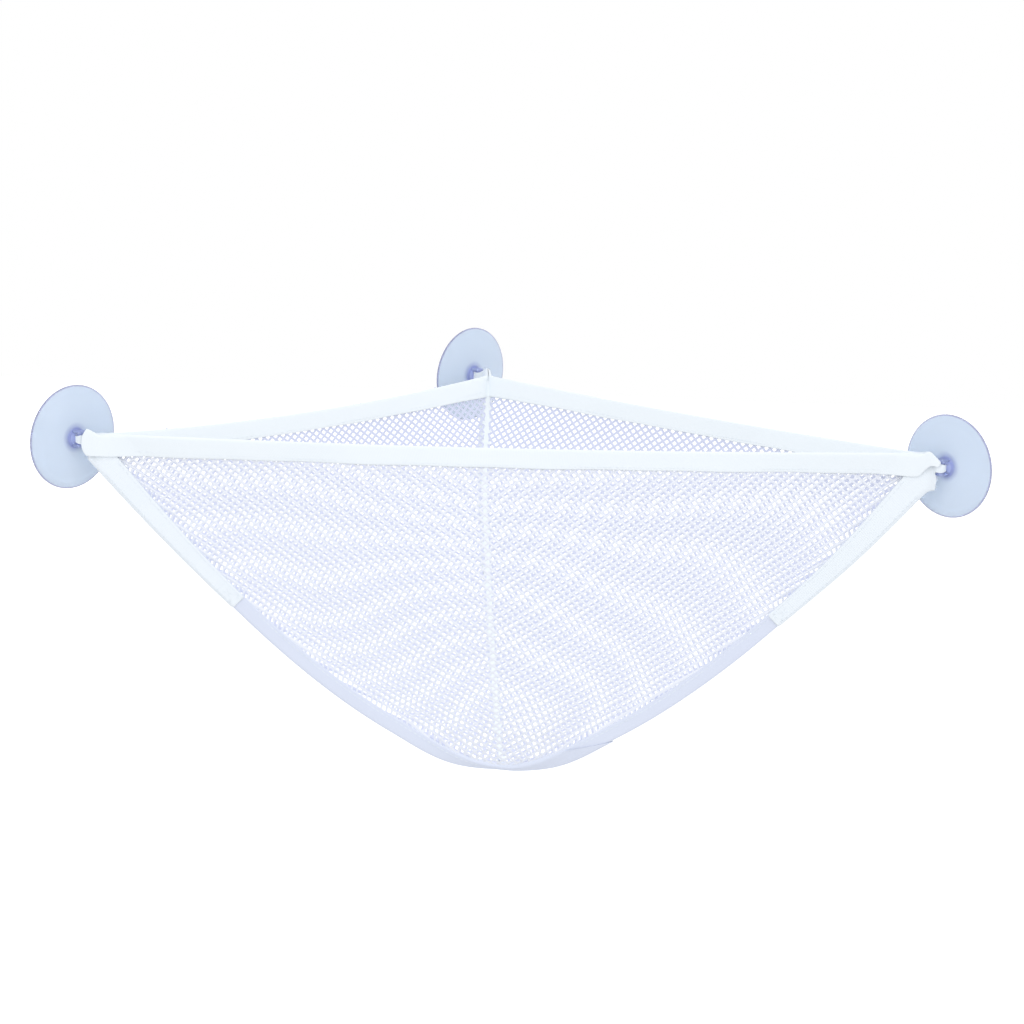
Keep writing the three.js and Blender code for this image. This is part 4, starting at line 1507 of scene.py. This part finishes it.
def studio_camera(stage):
    """The camera at the photograph's place, with its focal length and roll."""
    az, el, roll = (math.radians(a) for a in (stage.azimuth, stage.elevation, stage.roll))
    right = Vector((math.cos(az), math.sin(az), 0.0))
    back = Vector((math.sin(az) * math.cos(el), -math.cos(az) * math.cos(el), math.sin(el)))
    up = back.cross(right)
    turned = right * math.cos(roll) + up * math.sin(roll)
    upright = up * math.cos(roll) - right * math.sin(roll)
    deselect()
    bpy.ops.object.camera_add()
    camera = named("studio_camera")
    turn = Matrix((turned, upright, back)).transposed()
    camera.matrix_world = Matrix.Translation(stage.eye) @ turn.to_4x4()
    camera.data.sensor_width = 36.0
    camera.data.lens = camera.data.sensor_width * stage.focal_pixels / stage.frame_pixels
    camera.data.clip_end = 50.0
    return camera


class BAG_OT_stage(bpy.types.Operator):
    """Sets the camera, the pale floor, the white room and the soft lamps"""

    bl_idname = "bag.stage"
    bl_label = "Stage"

    def execute(self, context):
        scene = context.scene
        stage = scene.bag_stage
        scene.camera = studio_camera(stage)
        deselect()
        bpy.ops.mesh.primitive_plane_add(size=FLOOR_SIZE, location=(0, 0, stage.floor_level))
        floor = named("floor")
        bpy.ops.object.transform_apply(location=True, rotation=True, scale=True)
        floor.data.materials.append(floor_material())
        scene.world = white_world(stage.ambient)
        for name, (place, size) in LAMPS.items():
            soft_lamp(f"{name}_lamp", place, size, getattr(stage, name))
        scene.view_settings.view_transform = "Standard"
        return {"FINISHED"}


STEPS = (
    BAG_OT_stage, BAG_OT_net_panels, BAG_OT_rim_bindings, BAG_OT_seam_bindings, BAG_OT_corner_straps,
    BAG_OT_stitching, BAG_OT_suction_cups,
)


class BAG_PT_sidebar(bpy.types.Panel):
    """The bag's steps and sizes"""

    bl_label = "Corner Net Bag"
    bl_idname = "BAG_PT_sidebar"
    bl_space_type = "VIEW_3D"
    bl_region_type = "UI"
    bl_category = "Net Bag"

    def draw(self, context):
        for step in STEPS:
            self.layout.operator(step.bl_idname)
        for name, group in SETTINGS.items():
            box = self.layout.box()
            for setting in group.__annotations__:
                box.prop(getattr(context.scene, name), setting)


SETTINGS = {
    "bag_shape": BagShape,
    "bag_net": NetCloth,
    "bag_tape": TapeCloth,
    "bag_cup": CupForm,
    "bag_stage": StudioStage,
}


def register():
    for group in SETTINGS.values():
        bpy.utils.register_class(group)
    for name, group in SETTINGS.items():
        setattr(bpy.types.Scene, name, PointerProperty(type=group))
    for step in (*STEPS, BAG_PT_sidebar):
        bpy.utils.register_class(step)


def unregister():
    for step in reversed((*STEPS, BAG_PT_sidebar)):
        bpy.utils.unregister_class(step)
    for name, group in reversed(SETTINGS.items()):
        delattr(bpy.types.Scene, name)
        bpy.utils.unregister_class(group)


def declare_cloth(scene):
    """Works out, for each net panel, the tapes and threads sewn to it and the area of its flat cut, and
    keeps neither.
    """
    sewn = {"front": "left", "right": "right", "left": "back"}
    for panel in bag_panels(scene):
        corner = sewn[panel.name]
        pieces = [f"{panel.name}_rim_binding", f"{panel.name}_rim_stitches"]
        pieces += [f"{corner}_seam_binding", f"{corner}_seam_stitches"]
        pieces += [f"{corner}_strap_webbing", f"{corner}_strap_stitches"]
        panel.area()


def main():
    register()
    for step in STEPS:
        group, name = step.bl_idname.split(".")
        getattr(getattr(bpy.ops, group), name)()
    declare_cloth(bpy.context.scene)
    deselect()


if __name__ == "__main__":
    main()
